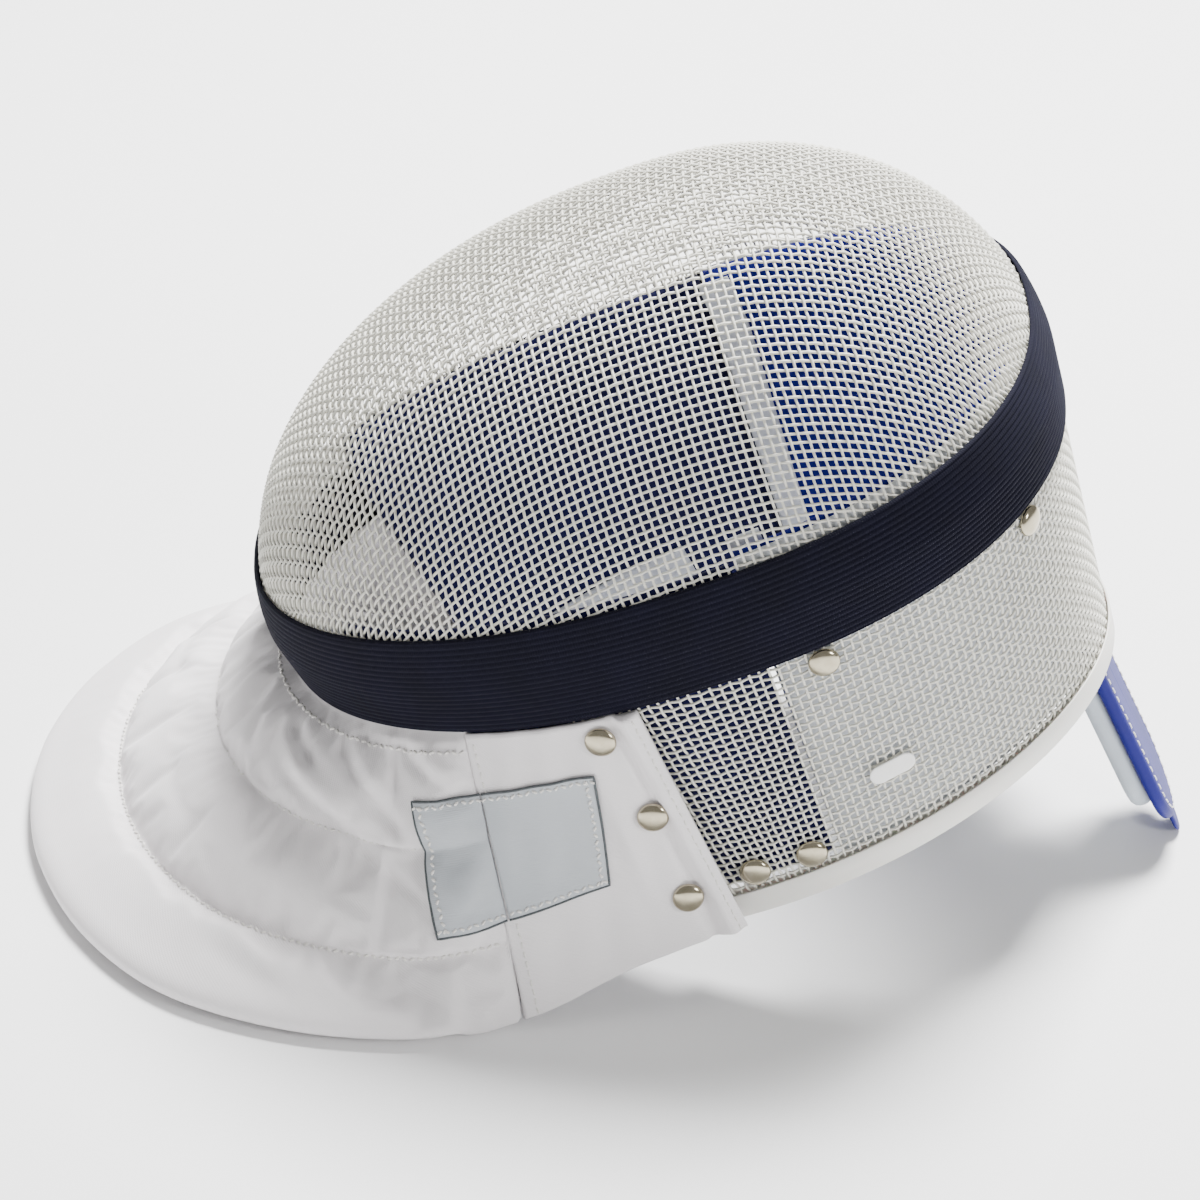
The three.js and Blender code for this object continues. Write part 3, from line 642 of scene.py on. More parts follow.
def swollen(piece, pinned, pressure, slack, cap):
    """Runs Cloth for 20 steps on a closed slack shape under inner pressure, with no gravity and
    the pinned vertices held, limits how far each point moved, and keeps only the result."""
    group = piece.vertex_groups.new(name="stitched")
    group.add(np.flatnonzero(pinned).tolist(), 1.0, "REPLACE")
    start = np.zeros(len(piece.data.vertices) * 3)
    piece.data.vertices.foreach_get("co", start)
    cloth = piece.modifiers.new("cloth", "CLOTH")
    cloth.settings.quality = 6
    cloth.settings.mass = 0.25
    cloth.settings.tension_stiffness = 12
    cloth.settings.compression_stiffness = 4
    cloth.settings.shear_stiffness = 5
    cloth.settings.bending_stiffness = 0.6
    cloth.settings.use_pressure = True
    cloth.settings.uniform_pressure_force = pressure
    cloth.settings.shrink_min = -slack
    cloth.settings.shrink_max = -slack
    cloth.settings.vertex_group_mass = "stitched"
    cloth.settings.effector_weights.gravity = 0
    for step in range(1, 21):
        bpy.context.scene.frame_set(step)
    settled = piece.evaluated_get(bpy.context.evaluated_depsgraph_get())
    end = np.zeros(len(start))
    settled.data.vertices.foreach_get("co", end)
    piece.modifiers.remove(cloth)
    piece.vertex_groups.clear()
    bpy.context.scene.frame_set(1)
    move = (end - start).reshape(-1, 3)
    length = np.linalg.norm(move, axis=1, keepdims=True)
    move *= np.minimum(1, cap / np.maximum(length, 1e-9))
    piece.data.vertices.foreach_set("co", (start.reshape(-1, 3) + move).ravel())
    piece.data.update()


def cloth_map(grid):
    """Flat map of a grid in metres: along its middle row, and down its middle column."""
    along = run_along(grid[:, grid.shape[1] // 2])
    down = run_along(grid[grid.shape[0] // 2])
    return np.stack(np.broadcast_arrays(along[:, None], down[None, :]), -1) / 1000


# White cotton-polyester twill: bright, matt, with the faint pinkish cast of bleached cloth. A
# slanting wave drawn 0.9 mm apart, coarser than the real 0.5 mm so that it shows, stands for the
# twill line; a finer cross wave breaks it into yarns; broad noise is the washed cloth's unevenness.
twill_material, twill_place, twill_cloud = mottled(
    "white_cotton_twill", "#e8e4e5", "#f3eff0", 22.0, 5.0,
    {"Roughness": 0.92, "Specular IOR Level": 0.2, "Sheen Weight": 0.15, "Sheen Roughness": 0.6})
twill_slant = node(twill_material, "ShaderNodeMapping", {"Rotation": (0, 0, math.radians(52))},
                   {"Vector": twill_place.outputs["UV"]})
twill_line = node(twill_material, "ShaderNodeTexWave",
                  {"Scale": 355.0, "Distortion": 0.6, "Detail": 1.0},
                  {"Vector": twill_slant.outputs["Vector"]})
twill_yarn = node(twill_material, "ShaderNodeTexWave", {
    "bands_direction": "Y", "Scale": 500.0, "Distortion": 1.0, "Detail": 1.0,
}, {"Vector": twill_place.outputs["UV"]})
twill_weave = node(twill_material, "ShaderNodeMath", {"operation": "MULTIPLY_ADD", 1: 0.4},
                   {0: twill_yarn.outputs["Fac"], 2: twill_line.outputs["Fac"]})
twill_threads = node(twill_material, "ShaderNodeBump", {"Strength": 0.22, "Distance": 0.0003},
                     {"Height": twill_weave.outputs["Value"]})
node(twill_material, "ShaderNodeBump", {"Strength": 0.25, "Distance": 0.0016},
     {"Height": twill_cloud.outputs["Fac"], "Normal": twill_threads.outputs["Normal"]}, "Normal")

bib_degrees = np.linspace(-BIB_SEAM + SEAM_GAP, BIB_SEAM - SEAM_GAP, BIB_COLUMNS)
bib_down = np.concatenate([[-0.05, -0.03, -0.012], 1 - (1 - np.linspace(0, 1, 62)) ** 1.12])
bib_back = 1 - np.concatenate([np.linspace(0.012, 1, 34), [1.03]])
bib_ring = np.concatenate([bib_down, bib_back])
BIB_ROWS = len(bib_down)
bib_side = np.concatenate([np.ones(BIB_ROWS), -np.ones(len(bib_back))])
bib_slack = bib_thickness(bib_degrees[:, None], bib_ring[None, :], 1.8, 9.6)
bib_centre = bib_middle(bib_degrees[:, None], bib_ring[None, :])
bib_normal = bib_out(bib_degrees[:, None], np.broadcast_to(bib_ring, bib_slack.shape))
bib_grid = pressed(bib_centre + bib_normal * (bib_slack * bib_side / 2)[..., None])
bib = tube_piece("quilted_bib", laid(bib_grid), False, twill_material,
                 uv=cloth_map(bib_grid))
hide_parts("bib")

bib_stitched = np.zeros(bib_slack.shape, dtype=bool)
for channel_end in CHANNEL_ENDS[1:3]:
    bib_stitched |= np.abs(bib_ring - channel_end)[None, :] < 0.012
bib_stitched |= (bib_ring < 0.01)[None, :]
bib_stitched[:2] = True
bib_stitched[-2:] = True
swollen(bib, bib_stitched.ravel(), 4.5, 0.05, 0.0045)
bib_points = np.zeros(len(bib.data.vertices) * 3)
bib.data.vertices.foreach_get("co", bib_points)
bib_points = bib_points.reshape(BIB_COLUMNS, -1, 3)
bib_top = bib_points[:, :BIB_ROWS]
bib_pucker = puckers(bib_degrees[:, None], bib_down[None, :]) * (bib_down > 0)[None, :]
bib_pucker *= np.clip((BIB_SEAM - np.abs(bib_degrees)) / 4, 0, 1)[:, None]
bib_top += upward_normals(bib_top) * bib_pucker[..., None] / 1000
# The collar settles on the floor: its lowest few millimetres sink a little and press flat.
bib_height = bib_points[..., 2]
bib_points[..., 2] = np.maximum(bib_height - 0.0018 * np.exp(-bib_height / 0.012), 0)
bib.data.vertices.foreach_set("co", bib_points.ravel())
bib_finish = bib.modifiers.new("smooth", "SUBSURF")
bib_finish.levels = 1
bib_finish.render_levels = 1
bib_finish.boundary_smooth = "PRESERVE_CORNERS"

# Flaps: two layers of the same twill, hemmed and unpadded, sewn to the bib's ends and riveted
# over the front ends of the rear mesh. Their rivets pull a furrow beside the hem.
FLAP_COLUMNS = 76
FLAP_ROWS = 110
FLAP_BACK_ROWS = 40
FLAP_DROP = 95.0
FLAP_TUCK = 0.012
FLAP_RIVETS = ((77.7, 0.072), (79.5, 0.43), (79.0, 0.8))


def flap_relief(degrees, v):
    """Height of the cloth over its plain shape, in mm: the rolled hem along the free edge, the
    furrow that the rivets pull beside it, a soft swell in front of them, a pucker round each
    rivet, and the stitched-down line beside the seam."""
    hem_at = FLAP_END - 1.55
    hem = 2.6 * np.exp(-((degrees - hem_at) / 1.0) ** 2)
    furrow = -1.7 * np.exp(-((degrees - (FLAP_END - 3.4 + 0.4 * np.sin(5 * v))) / 0.6) ** 2)
    swell = 1.5 * np.exp(-((degrees - 76.0 + 1.0 * v) / 1.3) ** 2) * np.sin(math.pi * np.clip(v, 0, 1))
    pucker = 0
    for turn, down in FLAP_RIVETS:
        far = np.hypot((degrees - turn) * DEGREE_LENGTH, (v - down) * FLAP_DROP)
        pucker = pucker - 1.1 * np.exp(-(far / 6.5) ** 2)
    waves = 0.45 * np.sin(degrees * 1.1 + 5 * v) * np.sin(v * 9 + 0.6)
    seam = -0.5 * np.exp(-((degrees - FLAP_START) / 0.9) ** 2)
    return hem + furrow + swell + pucker + waves + seam


flap_turn = np.linspace(FLAP_START, FLAP_END, FLAP_COLUMNS)
flap_down = np.concatenate([[-FLAP_TUCK], np.linspace(0, 1, FLAP_ROWS)[1:]])
flap_ring = np.concatenate([flap_down, np.linspace(1, -FLAP_TUCK, FLAP_BACK_ROWS)])
flap_half = np.concatenate([np.ones(FLAP_ROWS), -np.ones(FLAP_BACK_ROWS)])
flap_half *= FLAP_THICKNESS / 2 - 0.3
SIDES = ((1, "left"), (-1, "right"))
flaps = {}
flap_tops = {}
for flap_side, flap_name in SIDES:
    turn = flap_side * flap_turn[:, None]
    v = np.broadcast_to(flap_ring, (len(flap_turn), len(flap_ring)))
    relief = np.maximum(flap_relief(flap_turn[:, None], v), -1.3)
    relief = np.where((flap_half > 0)[None, :], relief, np.minimum(relief, 0))
    centre = bib_middle_straight(turn, v)
    grid = pressed(centre + bib_out(turn + 0 * v, v) * (flap_half + flap_ring + relief)[..., None])
    flap = tube_piece(f"twill_flap_{flap_name}", laid(grid), False, twill_material,
                      uv=cloth_map(grid))
    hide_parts(f"bib_flap_{flap_name}")
    flaps[flap_name] = flap
    flap_tops[flap_name] = laid(grid[:, :FLAP_ROWS])

# Stitching: white polyester thread, along the band, along the two lines that part the channels
# and along both sides of the flaps. Each kind of stitch is its spacing, length and width in
# metres, and the angle in radians by which it leans to alternate sides.
QUILTING_STITCH = (0.0027, 0.0023, 0.0011, 0.5)
SEAM_STITCH = (0.0034, 0.0027, 0.0006, 0.1)
ZIGZAG_STITCH = (0.0026, 0.0022, 0.0010, 0.6)
SLEEVE_STITCH = (0.0042, 0.0032, 0.0007, 0.0)


def taken_from(grid, row_at, column_at):
    """Points on a grid of points at fractional rows and columns, joined straight between them."""
    i = np.clip(np.floor(row_at).astype(int), 0, grid.shape[0] - 2)
    j = np.clip(np.floor(column_at).astype(int), 0, grid.shape[1] - 2)
    a = (row_at - i)[..., None]
    b = (column_at - j)[..., None]
    return ((1 - a) * (1 - b) * grid[i, j] + a * (1 - b) * grid[i + 1, j]
            + (1 - a) * b * grid[i, j + 1] + a * b * grid[i + 1, j + 1])


def stitches(path, out, spacing, length, width, lean):
    """Stitches along a path, each a thin spindle: two five-sided rings and two points. They lie
    along the path, leaning to alternate sides by the angle lean."""
    mark = evenly(path, spacing) * (len(path) - 1)
    i = np.clip(mark.astype(int), 0, len(path) - 2)
    part = (mark - i)[:, None]
    centre = path[i] * (1 - part) + path[i + 1] * part
    up = unit(out[i] * (1 - part) + out[i + 1] * part)
    ahead = unit(path[i + 1] - path[i])
    side = unit(np.cross(up, ahead))
    swing = np.where(np.arange(len(mark)) % 2 == 0, lean, -lean)[:, None]
    way = ahead * np.cos(swing) + side * np.sin(swing)
    across = np.cross(up, way)
    turn = np.arange(5) * 2 * math.pi / 5
    ring = (across[:, None] * np.cos(turn)[:, None] + up[:, None] * np.sin(turn)[:, None]) * width / 2
    near = centre[:, None] - way[:, None] * length * 0.32 + ring
    far = centre[:, None] + way[:, None] * length * 0.32 + ring
    tips = [(centre - way * length / 2 - up * width * 0.4)[:, None],
            (centre + way * length / 2 - up * width * 0.4)[:, None]]
    vertices = np.concatenate([near, far, *tips], axis=1)
    k = np.arange(5)
    base = (np.arange(len(mark)) * 12)[:, None]
    quads = np.stack([base + k, base + (k + 1) % 5, base + 5 + (k + 1) % 5, base + 5 + k], -1)
    start = np.stack([base + 10 + 0 * k, base + (k + 1) % 5, base + k], -1)
    end = np.stack([base + 11 + 0 * k, base + 5 + k, base + 5 + (k + 1) % 5], -1)
    return vertices.reshape(-1, 3), [*quads.reshape(-1, 4).tolist(), *start.reshape(-1, 3).tolist(),
                                     *end.reshape(-1, 3).tolist()]


def stitch_line(top, out, row_at, column_at, lift, kind):
    """Stitches of one kind on a face, along fractional rows and columns and lifted off it."""
    row_at, column_at = np.broadcast_arrays(row_at, column_at)
    up = taken_from(out, row_at, column_at)
    return stitches(taken_from(top, row_at, column_at) + lift * up, up, *kind)


def stitched(name, rows, material, carrier):
    """One piece made of several rows of stitches, which goes with the cloth that carries it."""
    vertices, faces, count = [], [], 0
    for points, row_faces in rows:
        vertices.append(points)
        faces += [[corner + count for corner in face] for face in row_faces]
        count += len(points)
    made = new_piece(name, np.concatenate(vertices), faces, material)
    made.parent = carrier
    return made


# White polyester sewing thread: a hard twisted yarn, so slightly shinier than the cloth.
thread_material, thread_shader = new_material("white_polyester_thread", {
    "Roughness": 0.6, "Specular IOR Level": 0.4,
})
thread_place = node(thread_material, "ShaderNodeTexCoord")
thread_twist = node(thread_material, "ShaderNodeTexWave", {"Scale": 900.0},
                    {"Vector": thread_place.outputs["Object"]})
thread_tone = node(thread_material, "ShaderNodeMix", {
    "data_type": "RGBA", 6: linear("#d9d6d2"), 7: linear("#f6f4ee"),
}, {0: thread_twist.outputs["Fac"]})
thread_material.node_tree.links.new(thread_tone.outputs[2], thread_shader.inputs["Base Color"])

bib_top_out = upward_normals(bib_top)
line_columns = np.linspace(1.5, BIB_COLUMNS - 2.5, 500)
bib_rows = [
    stitch_line(bib_top, bib_top_out, line_columns,
                np.interp(share, bib_down, np.arange(BIB_ROWS)), 0.0001, QUILTING_STITCH)
    for share in (0.05, *CHANNEL_ENDS[1:3])
]
stitched("bib_stitching", bib_rows, thread_material, bib)

# Seam stitching: where the collar meets a flap, and a row on the flap beside the free edge.
flap_out = {}
for flap_name, top in flap_tops.items():
    flap_out[flap_name] = upward_normals(top)
    rows = [
        stitch_line(top, flap_out[flap_name], column, np.linspace(start, end, 160), 0.00012,
                    SEAM_STITCH)
        for column, start, end in ((3.6, 2, FLAP_ROWS - 1), (72.6, 1, FLAP_ROWS - 2))
    ]
    stitched(f"flap_stitching_{flap_name}", rows, thread_material, flaps[flap_name])

# Label: a woven satin label in silver grey, folded over the seam between bib and left flap and
# sewn down round its edge with a white zigzag; it is bare. Its cut edge is bound in dark thread.
LABEL_WIDTH = 40.0
LABEL_TURN = 22.0
LABEL_HEIGHT = 45.0
LABEL_BELOW_BAND = 20.0
LABEL_LIFT = 0.0011
LABEL_THICKNESS = 0.0006


def label_grid(widths, top, out, degree_table, down_table):
    """The label's upper face, from one width in mm beside the seam to another: the cloth's own
    face at the label's place, smoothed as stiff woven tape lies, and lifted off it. The tables
    give the angle of each of the cloth's columns and the share down of each of its rows."""
    seam_end = bib_middle(np.array(BIB_SEAM), np.array([0.0, 1.0]))
    length = np.linalg.norm(seam_end[1] - seam_end[0])
    v = (LABEL_BELOW_BAND + np.linspace(0, 1, 46) * LABEL_HEIGHT) / length
    degree = np.linalg.norm(bib_middle(BIB_SEAM + 1.0, v) - bib_middle(BIB_SEAM, v), axis=-1)
    rows = np.interp(BIB_SEAM + widths[:, None] / degree[None, :], degree_table, np.arange(len(top)))
    columns = np.interp(v, down_table, np.arange(top.shape[1]))[None, :] + 0 * rows
    base = taken_from(top, rows, columns)
    normal = unit(taken_from(out, rows, columns))
    for _ in range(3):
        smooth = np.pad(base, ((1, 1), (1, 1), (0, 0)), mode="reflect", reflect_type="odd")
        base = (smooth[2:, 1:-1] + smooth[:-2, 1:-1] + smooth[1:-1, 2:] + smooth[1:-1, :-2]) / 4
    return base + LABEL_LIFT * normal, normal


def plate_piece(name, face, normal, thickness, material):
    """A thin plate under an upper face: each section runs along the face and back under it."""
    under = face - normal * thickness
    grid = np.concatenate([face, under[:, ::-1]], axis=1)
    flat = cloth_map(face * 1000)
    uv = np.concatenate([flat, flat[:, ::-1]], axis=1)
    return tube_piece(name, grid, False, material, uv=uv)


def bead(name, path, radius, material, carrier, up):
    """A thin round thread along a path: rings of six points across the path's direction."""
    ahead = unit(np.gradient(path, axis=0))
    side = unit(np.cross(ahead, up))
    lift = np.cross(side, ahead)
    turn = (np.arange(6) * math.pi / 3)[:, None]
    ring = side[:, None] * np.cos(turn) + lift[:, None] * np.sin(turn)
    made = tube_piece(name, path[:, None] + radius * ring, False, material)
    made.parent = carrier
    return made


# Woven polyester satin: silver grey, with a soft sheen and fine cross lines of weft.
label_material, label_place, _ = mottled("grey_satin_label", "#aeb3b8", "#bfc4c9", 45.0, 4.0, {
    "Roughness": 0.5, "Specular IOR Level": 0.5, "Sheen Weight": 0.2,
})
label_weft = node(label_material, "ShaderNodeTexWave", {
    "bands_direction": "Y", "Scale": 420.0, "Distortion": 0.8, "Detail": 2.0,
}, {"Vector": label_place.outputs["UV"]})
node(label_material, "ShaderNodeBump", {"Strength": 0.2, "Distance": 0.0002},
     {"Height": label_weft.outputs["Fac"]}, "Normal")

# Dark grey binding thread along the label's cut edge.
binding_material, _, _ = mottled("dark_grey_binding_thread", "#3c4042", "#5c6164", 700.0, 2.0,
                                 {"Roughness": 0.8})

for label_name, carrier, label_way, label_seat in (
    ("label_front", flaps["left"], 1, (
        np.linspace(0.9, LABEL_WIDTH, 44), flap_tops["left"], flap_out["left"], flap_turn,
        np.linspace(0, 1, FLAP_ROWS))),
    ("label_turn", bib, -1, (
        np.linspace(-LABEL_TURN, 0.3, 26), bib_top, bib_top_out, bib_degrees, bib_down)),
):
    face, out = label_grid(*label_seat)
    label = plate_piece(f"woven_{label_name}", face, out, LABEL_THICKNESS, label_material)
    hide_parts(label_name)
    label.parent = carrier
    # The zigzag keeps about 2 mm inside the edge: along both long sides and down the free side.
    # The binding runs round the same three sides.
    outer_face = face[::label_way]
    outer_out = out[::label_way]
    rows = [stitches(line + 0.00015 * up, up, *ZIGZAG_STITCH) for line, up in (
        (face[:, 2], out[:, 2]),
        (face[:, -3], out[:, -3]),
        (outer_face[-4, 2:-2], outer_out[-4, 2:-2]),
    )]
    stitched(f"{label_name}_zigzag", rows, thread_material, label)
    edge_path = np.concatenate([outer_face[:, 0], outer_face[-1, 1:-1], outer_face[::-1, -1]])
    edge_out = np.concatenate([outer_out[:, 0], outer_out[-1, 1:-1], outer_out[::-1, -1]])
    bead(f"{label_name}_binding", edge_path - edge_out * 0.0002, 0.0005, binding_material,
         label, edge_out)

# Patch: a small oblong of white self-adhesive tape on the left side of the rear mesh, bare.
PATCH_LENGTH = 17.0
PATCH_HEIGHT = 7.5
PATCH_ANGLE = 110
PATCH_BELOW = 80.0
PATCH_STAND = 0.35


def mesh_seat(angle, below):
    """Point, outward normal and direction along the mesh, on the rear mesh's outer face."""
    angle = np.array(angle)
    here = wall(angle, -below, 1.9)
    along = unit(wall(angle + 0.01, -below, 1.9) - wall(angle - 0.01, -below, 1.9))
    down = unit(wall(angle, -below - 1, 1.9) - here)
    out = unit(np.cross(along, down))
    aside = np.array([-np.cos(angle), -np.sin(angle), 0])
    return here, out * np.sign(out @ aside), along


def domed(seat, out, along, outline, heights, name, material):
    """A low boss: rings of an outline, shrunk and raised by rows of (share, height), standing on
    a seat. The last ring closes in a point."""
    side = np.cross(out, along)
    rings = [seat + along * (outline[:, :1] * share) + side * (outline[:, 1:] * share) + out * height
             for share, height in heights]
    grid = np.stack(rings)
    return tube_piece(name, laid(grid), False, material)


# White vinyl: smooth, flexible and a little glossy, slightly yellowed at its edge.
vinyl_material, _, vinyl_cloud = mottled("white_vinyl_patch", "#ecebe7", "#f8f8f7", 250.0, 3.0,
                                         {"Roughness": 0.35, "IOR": 1.53})
node(vinyl_material, "ShaderNodeBump", {"Strength": 0.2, "Distance": 0.0004},
     {"Height": vinyl_cloud.outputs["Fac"]}, "Normal")

patch_turn = np.linspace(0, 2 * math.pi, 48, endpoint=False)
patch_straight = (PATCH_LENGTH - PATCH_HEIGHT) / 2
patch_outline = np.stack([
    patch_straight * np.sign(np.cos(patch_turn)) + PATCH_HEIGHT / 2 * np.cos(patch_turn),
    PATCH_HEIGHT / 2 * np.sin(patch_turn),
], -1)
patch_heights = ((0.98, 0.0), (1.0, 0.15), (1.0, 0.5), (0.97, 0.68), (0.9, 0.75), (0.5, 0.78),
                 (0.02, 0.78))
seat, out, along = mesh_seat(math.radians(PATCH_ANGLE), PATCH_BELOW)
patch = domed(seat + out * PATCH_STAND, out, along, patch_outline, patch_heights,
              "oblong_vinyl_patch", vinyl_material)
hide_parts("mesh_patch")

# Rivets: domed caps stamped from nickel-plated brass, 11 mm across, pressed on by hand, so their
# faces are slightly dented. They hold the flaps and the linings to the mesh.
RIVET_RADIUS = 5.5
RIVET_HEIGHT = 2.6
RIVET_PLACES = (
    ("flap_top", 77.7, 0.072, 0), ("flap_middle", 79.5, 0.43, 0), ("flap_bottom", 79.0, 0.8, 0),
    ("rim_front", 86.0, None, 100.5), ("rim_rear", 94.5, None, 100.5),
    ("band_side", 105.0, None, 25.4), ("band_crown", 147.0, None, 25.4),
)

# Nickel plate: a warm pale metal, polished but handled, so its gloss is broken by fine scratches.
nickel_material, _, nickel_cloud = mottled("polished_nickel_plate", "#968d76", "#bdb5a0", 260.0, 4.0,
                                           {"Metallic": 1.0, "Roughness": 0.16})
node(nickel_material, "ShaderNodeBump", {"Strength": 0.12, "Distance": 0.0004},
     {"Height": nickel_cloud.outputs["Fac"]}, "Normal")

cap_turn = np.linspace(0, 2 * math.pi, 32, endpoint=False)
cap_outline = RIVET_RADIUS * np.stack([np.cos(cap_turn), np.sin(cap_turn)], -1)
cap_rise = np.linspace(0, math.pi / 2, 9)[:-1]
cap_heights = [(0.94, 0.0), (0.99, 0.1), (1.0, 0.35), (0.995, 0.7)] + [
    (0.975 * math.cos(t), 0.8 + (RIVET_HEIGHT - 0.8) * math.sin(t)) for t in cap_rise[1:]] + [
    (0.02, RIVET_HEIGHT)]
for side, side_name in SIDES:
    for place_name, turn, share, below in RIVET_PLACES:
        if share is None:
            seat, out, along = mesh_seat(side * math.radians(turn), below)
            seat = seat + out * 0.3
        else:
            degrees = np.array(side * turn)
            out = bib_out(degrees, np.array(share))
            seat = bib_middle(degrees, np.array(share)) + out * (FLAP_THICKNESS / 2 + share - 0.3)
            along = unit(np.cross(out, np.array([0.0, 0.0, 1.0])))
        cap = domed(seat, out, along, cap_outline, cap_heights, f"nickel_cap_{place_name}_{side_name}",
                    nickel_material)
        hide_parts(f"rivet_{place_name}_{side_name}")

# Side linings: thin foam pads covered in navy brushed nylon, fixed inside the mesh beside the
# cheeks. They are seen through the wires and from below.
PAD_OUTER = 4.5
PAD_FOOT = 10.0
CROWN_PAD_TOP = 22.0
LINING_THICKNESS = 6.0
CROWN_PAD_THICKNESS = 9.0
BACKING_THICKNESS = 1.5


def rounded(way, reach):
    """Rise of a rounded edge, from 0 to 1: a quarter circle over the reach."""
    return (1 - (1 - np.clip(way / reach, 0, 1)) ** 2) ** 0.5


def pad_piece(name, degrees, low, high, outer, thickness, slack, material):
    """A pad against the inside of the mask: sections across its height, each closed round a flat
    back and a face that swells from rounded edges. The swell fades over slack mm at each side."""
    share = np.linspace(0, 1, 40)
    angle = np.radians(degrees)[:, None]
    bottom = np.reshape(low, (-1, 1)) - depth_at(angle)
    height = bottom + (high - bottom) * share[None, :]
    run = run_along(wall(np.radians(degrees), -40.0, outer))
    side_way = np.minimum(run, run[-1] - run)[:, None]
    end_way = np.minimum(share, 1 - share)[None, :] * (high - bottom)
    depth = thickness * (0.25 + 0.75 * rounded(side_way, slack) * rounded(end_way, slack))
    back = wall(angle, height, outer)
    face = wall(angle, height, outer + depth)
    sections = laid(np.concatenate([back, face[:, ::-1]], axis=1))
    return tube_piece(name, sections, False, material)


def brushed(name, light, shaded, settings, pile):
    """Brushed cloth: its nap is fine noise drawn at the pile's spacing, and broad noise gives
    the brushed and unbrushed stretches."""
    made, place, _ = mottled(name, shaded, light, 35.0, 3.0, settings)
    nap = node(made, "ShaderNodeTexNoise", {"Scale": pile, "Detail": 3.0},
               {"Vector": place.outputs["Object"]})
    node(made, "ShaderNodeBump", {"Strength": 0.4, "Distance": 0.0005},
         {"Height": nap.outputs["Fac"]}, "Normal")
    return made


# White felt, for a strip along the lower part of these linings and for the back of the crown pad. The
# strip is painted light: a white sheet standing in for the light that shows through the head opening
# below the linings.
felt_material = brushed("white_felt_backing", "#dde0e6", "#c8ccd4", {
    "Roughness": 0.95, "Specular IOR Level": 0.15}, 500.0)

# Navy brushed nylon: soft, matt and nearly black.
navy_material = brushed("navy_brushed_nylon", "#0f1250", "#080a30", {
    "Roughness": 0.95, "Specular IOR Level": 0.15, "Sheen Weight": 0.2}, 700.0)
for side, side_name in SIDES:
    lining = pad_piece(f"navy_side_pad_{side_name}", side * np.linspace(40, 98, 54), 12.0, 20.0,
                       PAD_OUTER, LINING_THICKNESS, 7.0, navy_material)
    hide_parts(f"side_lining_{side_name}")
    # Painted light: a white strip low on each lining, 14 to 38 mm above the rim, stands in for the
    # light seen through the head opening below the linings.
    light_strip_span = side * np.linspace(47, 82.5, 30)
    light_strip_top = 38.0 - depth_at(np.radians(light_strip_span))[:, None]
    light_strip = pad_piece(f"painted_light_strip_{side_name}", light_strip_span, 14.0, light_strip_top,
                       PAD_OUTER + LINING_THICKNESS + 0.3, 1.0, 1.5, felt_material)
    light_strip.parent = lining

# Crown pad: foam round the back of the head, covered in royal blue brushed nylon towards the
# head, with a white felt back against the mesh and a white tape bound over its front edges.
# Brushed nylon keeps a deep, even blue with hardly any gloss.
royal_material = brushed("royal_blue_brushed_nylon", "#11167e", "#0b1060", {
    "Roughness": 0.95, "Specular IOR Level": 0.12, "Sheen Weight": 0.08}, 700.0)
crown_span = np.linspace(99, 261, 130)
crown_clear = np.clip((np.abs(crown_span - 180) - 18) / 9, 0, 1)
crown_foot = PAD_FOOT + 14.6 * (1 - crown_clear ** 2 * (3 - 2 * crown_clear))
crown_pad = pad_piece("blue_crown_pad", crown_span, crown_foot, CROWN_PAD_TOP,
                      PAD_OUTER + BACKING_THICKNESS + 0.5, CROWN_PAD_THICKNESS, 9.0,
                      royal_material)
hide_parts("crown_pad")

crown_back = pad_piece("felt_pad_back", crown_span, crown_foot, CROWN_PAD_TOP, PAD_OUTER,
                       BACKING_THICKNESS, 2.0, felt_material)
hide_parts("crown_pad_back")

for side, side_name in SIDES:
    tape = pad_piece(f"white_edge_tape_{side_name}", side * np.linspace(99, 103.9, 12), PAD_FOOT,
                     CROWN_PAD_TOP, PAD_OUTER + BACKING_THICKNESS + CROWN_PAD_THICKNESS + 1.0,
                     1.4, 1.5, felt_material)
    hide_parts(f"pad_edge_tape_{side_name}")

# Tongue: a flat steel spring sewn into a blue vinyl-coated cloth sleeve, with a grey foam pad on
# the side towards the head. It hangs inside the rim at the crown; its end tab reaches the floor.
TONGUE_TOP = (262.943, 0.0, -94.0)
TONGUE_LENGTH = 119.666
TONGUE_WIDTH = 46.0
TONGUE_THICKNESS = 5.0
TONGUE_PAD = 8.0
TAB_WIDTH = 16.0
TAB_LENGTH = 9.0
SPLAY = math.radians(4)
SLEEVE_SEAM_POINTS = 79


def on_tongue(points):
    """From the tongue's own frame (x outwards, y aside, z up its length) to the mask's."""
    x, y, z = points[..., 0], points[..., 1], points[..., 2]
    return np.stack([
        x * math.cos(SPLAY) - z * math.sin(SPLAY) + TONGUE_TOP[0],
        y + TONGUE_TOP[1],
        x * math.sin(SPLAY) + z * math.cos(SPLAY) + TONGUE_TOP[2],
    ], -1)


def strip_outline(half, bottom, inset):
    """Outline of a strip with a half-round lower end, inset all round: down one side, round the
    end, up the other side and back along the top. Points are (aside, up)."""
    turn = np.linspace(0, math.pi, 33)
    reach = half - inset
    end = np.stack([-reach * np.cos(turn), bottom + half - reach * np.sin(turn)], -1)
    rise = np.linspace(0, 1, 24)[:-1, None]
    top = -min(inset, 3.0)
    left = np.array([[-reach, top]]) + rise * (end[:1] - np.array([[-reach, top]]))
    right = end[-1:] + np.linspace(0, 1, 24)[1:, None] * (np.array([[reach, top]]) - end[-1:])
    shut = np.array([[reach, top]]) + np.linspace(0, 1, 10)[1:-1, None] * np.array([[-2 * reach, 0]])
    return np.concatenate([left, end, right, shut])


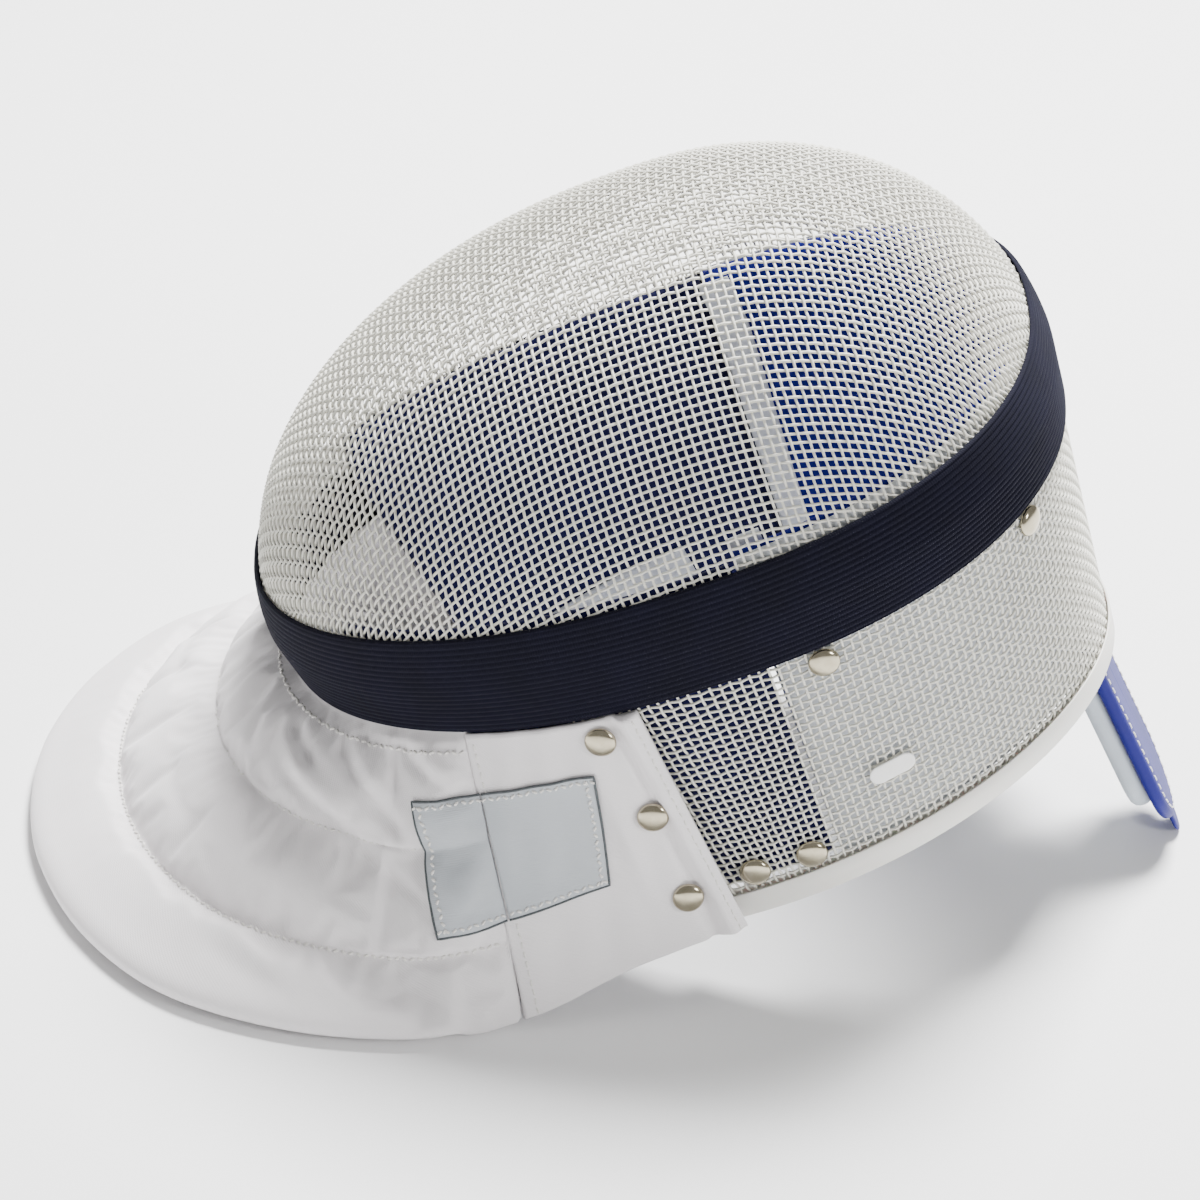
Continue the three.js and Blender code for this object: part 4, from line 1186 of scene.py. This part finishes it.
def strip_piece(name, half, bottom, back, front, swell, material):
    """A strip as rings of its outline: from the middle of the back face, out round the edge, and
    in again over a face that swells by a circle's share towards the middle."""
    rings = []
    insets = [half * 0.97, half * 0.8, half * 0.5, 2.0, 0.8, 0.2, 0.0]
    shares = (0.0, 0.0, 0.0, 0.0, 0.12, 0.3, 0.5, 0.72, 0.9, 1.0, 1.0, 1.0, 1.0)
    for inset, share in zip(insets + insets[-2::-1], shares):
        rise = swell * rounded(inset, half * 0.6) if share > 0.5 else 0.0
        outline = strip_outline(half, bottom, inset)
        depth = back + (front - back) * share + math.copysign(rise, front - back)
        rings.append(np.concatenate([np.full((len(outline), 1), depth), outline], 1))
    return tube_piece(name, laid(on_tongue(np.stack(rings))), False, material)


# Vinyl-coated polyester: strong blue, smooth, satin, with a fine cloth grain under the coat.
sleeve_material, sleeve_place, _ = mottled("blue_coated_cloth", "#07075f", "#0b0b78", 50.0, 3.0, {
    "Roughness": 0.55, "Specular IOR Level": 0.25,
})
sleeve_grain = node(sleeve_material, "ShaderNodeTexNoise", {"Scale": 900.0, "Detail": 2.0},
                    {"Vector": sleeve_place.outputs["Object"]})
node(sleeve_material, "ShaderNodeBump", {"Strength": 0.3, "Distance": 0.0003},
     {"Height": sleeve_grain.outputs["Fac"]}, "Normal")

strip_end = TAB_LENGTH - TONGUE_LENGTH
tongue = strip_piece("tongue_sleeve", TONGUE_WIDTH / 2, strip_end, 0.0, TONGUE_THICKNESS, 0.0,
                     sleeve_material)
tab = strip_piece("tongue_tab", TAB_WIDTH / 2, strip_end - TAB_LENGTH - 1.0, 1.6, 3.4, 0.0,
                  sleeve_material)
tab.parent = tongue
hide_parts("tongue")

# The outline's first points run down one side, round the end and up the other side.
seam_path = strip_outline(TONGUE_WIDTH / 2, strip_end, 3.2)[:SLEEVE_SEAM_POINTS]
seam_height = np.full((SLEEVE_SEAM_POINTS, 1), TONGUE_THICKNESS + 0.15)
seam_path = np.concatenate([seam_height, seam_path], 1)
seam_line_laid = laid(on_tongue(seam_path))
seam_out = unit(laid(on_tongue(seam_path + np.array([1.0, 0, 0]))) - seam_line_laid)
seam_rows = [stitches(seam_line_laid, seam_out, *SLEEVE_STITCH)]
stitched("tongue_stitching", seam_rows, thread_material, tongue)

# Grey brushed nylon over foam: pale, soft and matt, with a short nap that catches a rim of light.
grey_material = brushed("grey_brushed_nylon", "#c0c8d0", "#aab2ba", {
    "Roughness": 0.9, "Specular IOR Level": 0.2, "Sheen Weight": 0.25}, 700.0)
tongue_pad = strip_piece("tongue_grey_pad", TONGUE_WIDTH / 2 - 2, strip_end + TAB_LENGTH, -0.3,
                         -0.3 - TONGUE_PAD + 2.0, 2.0, grey_material)
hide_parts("tongue_pad")
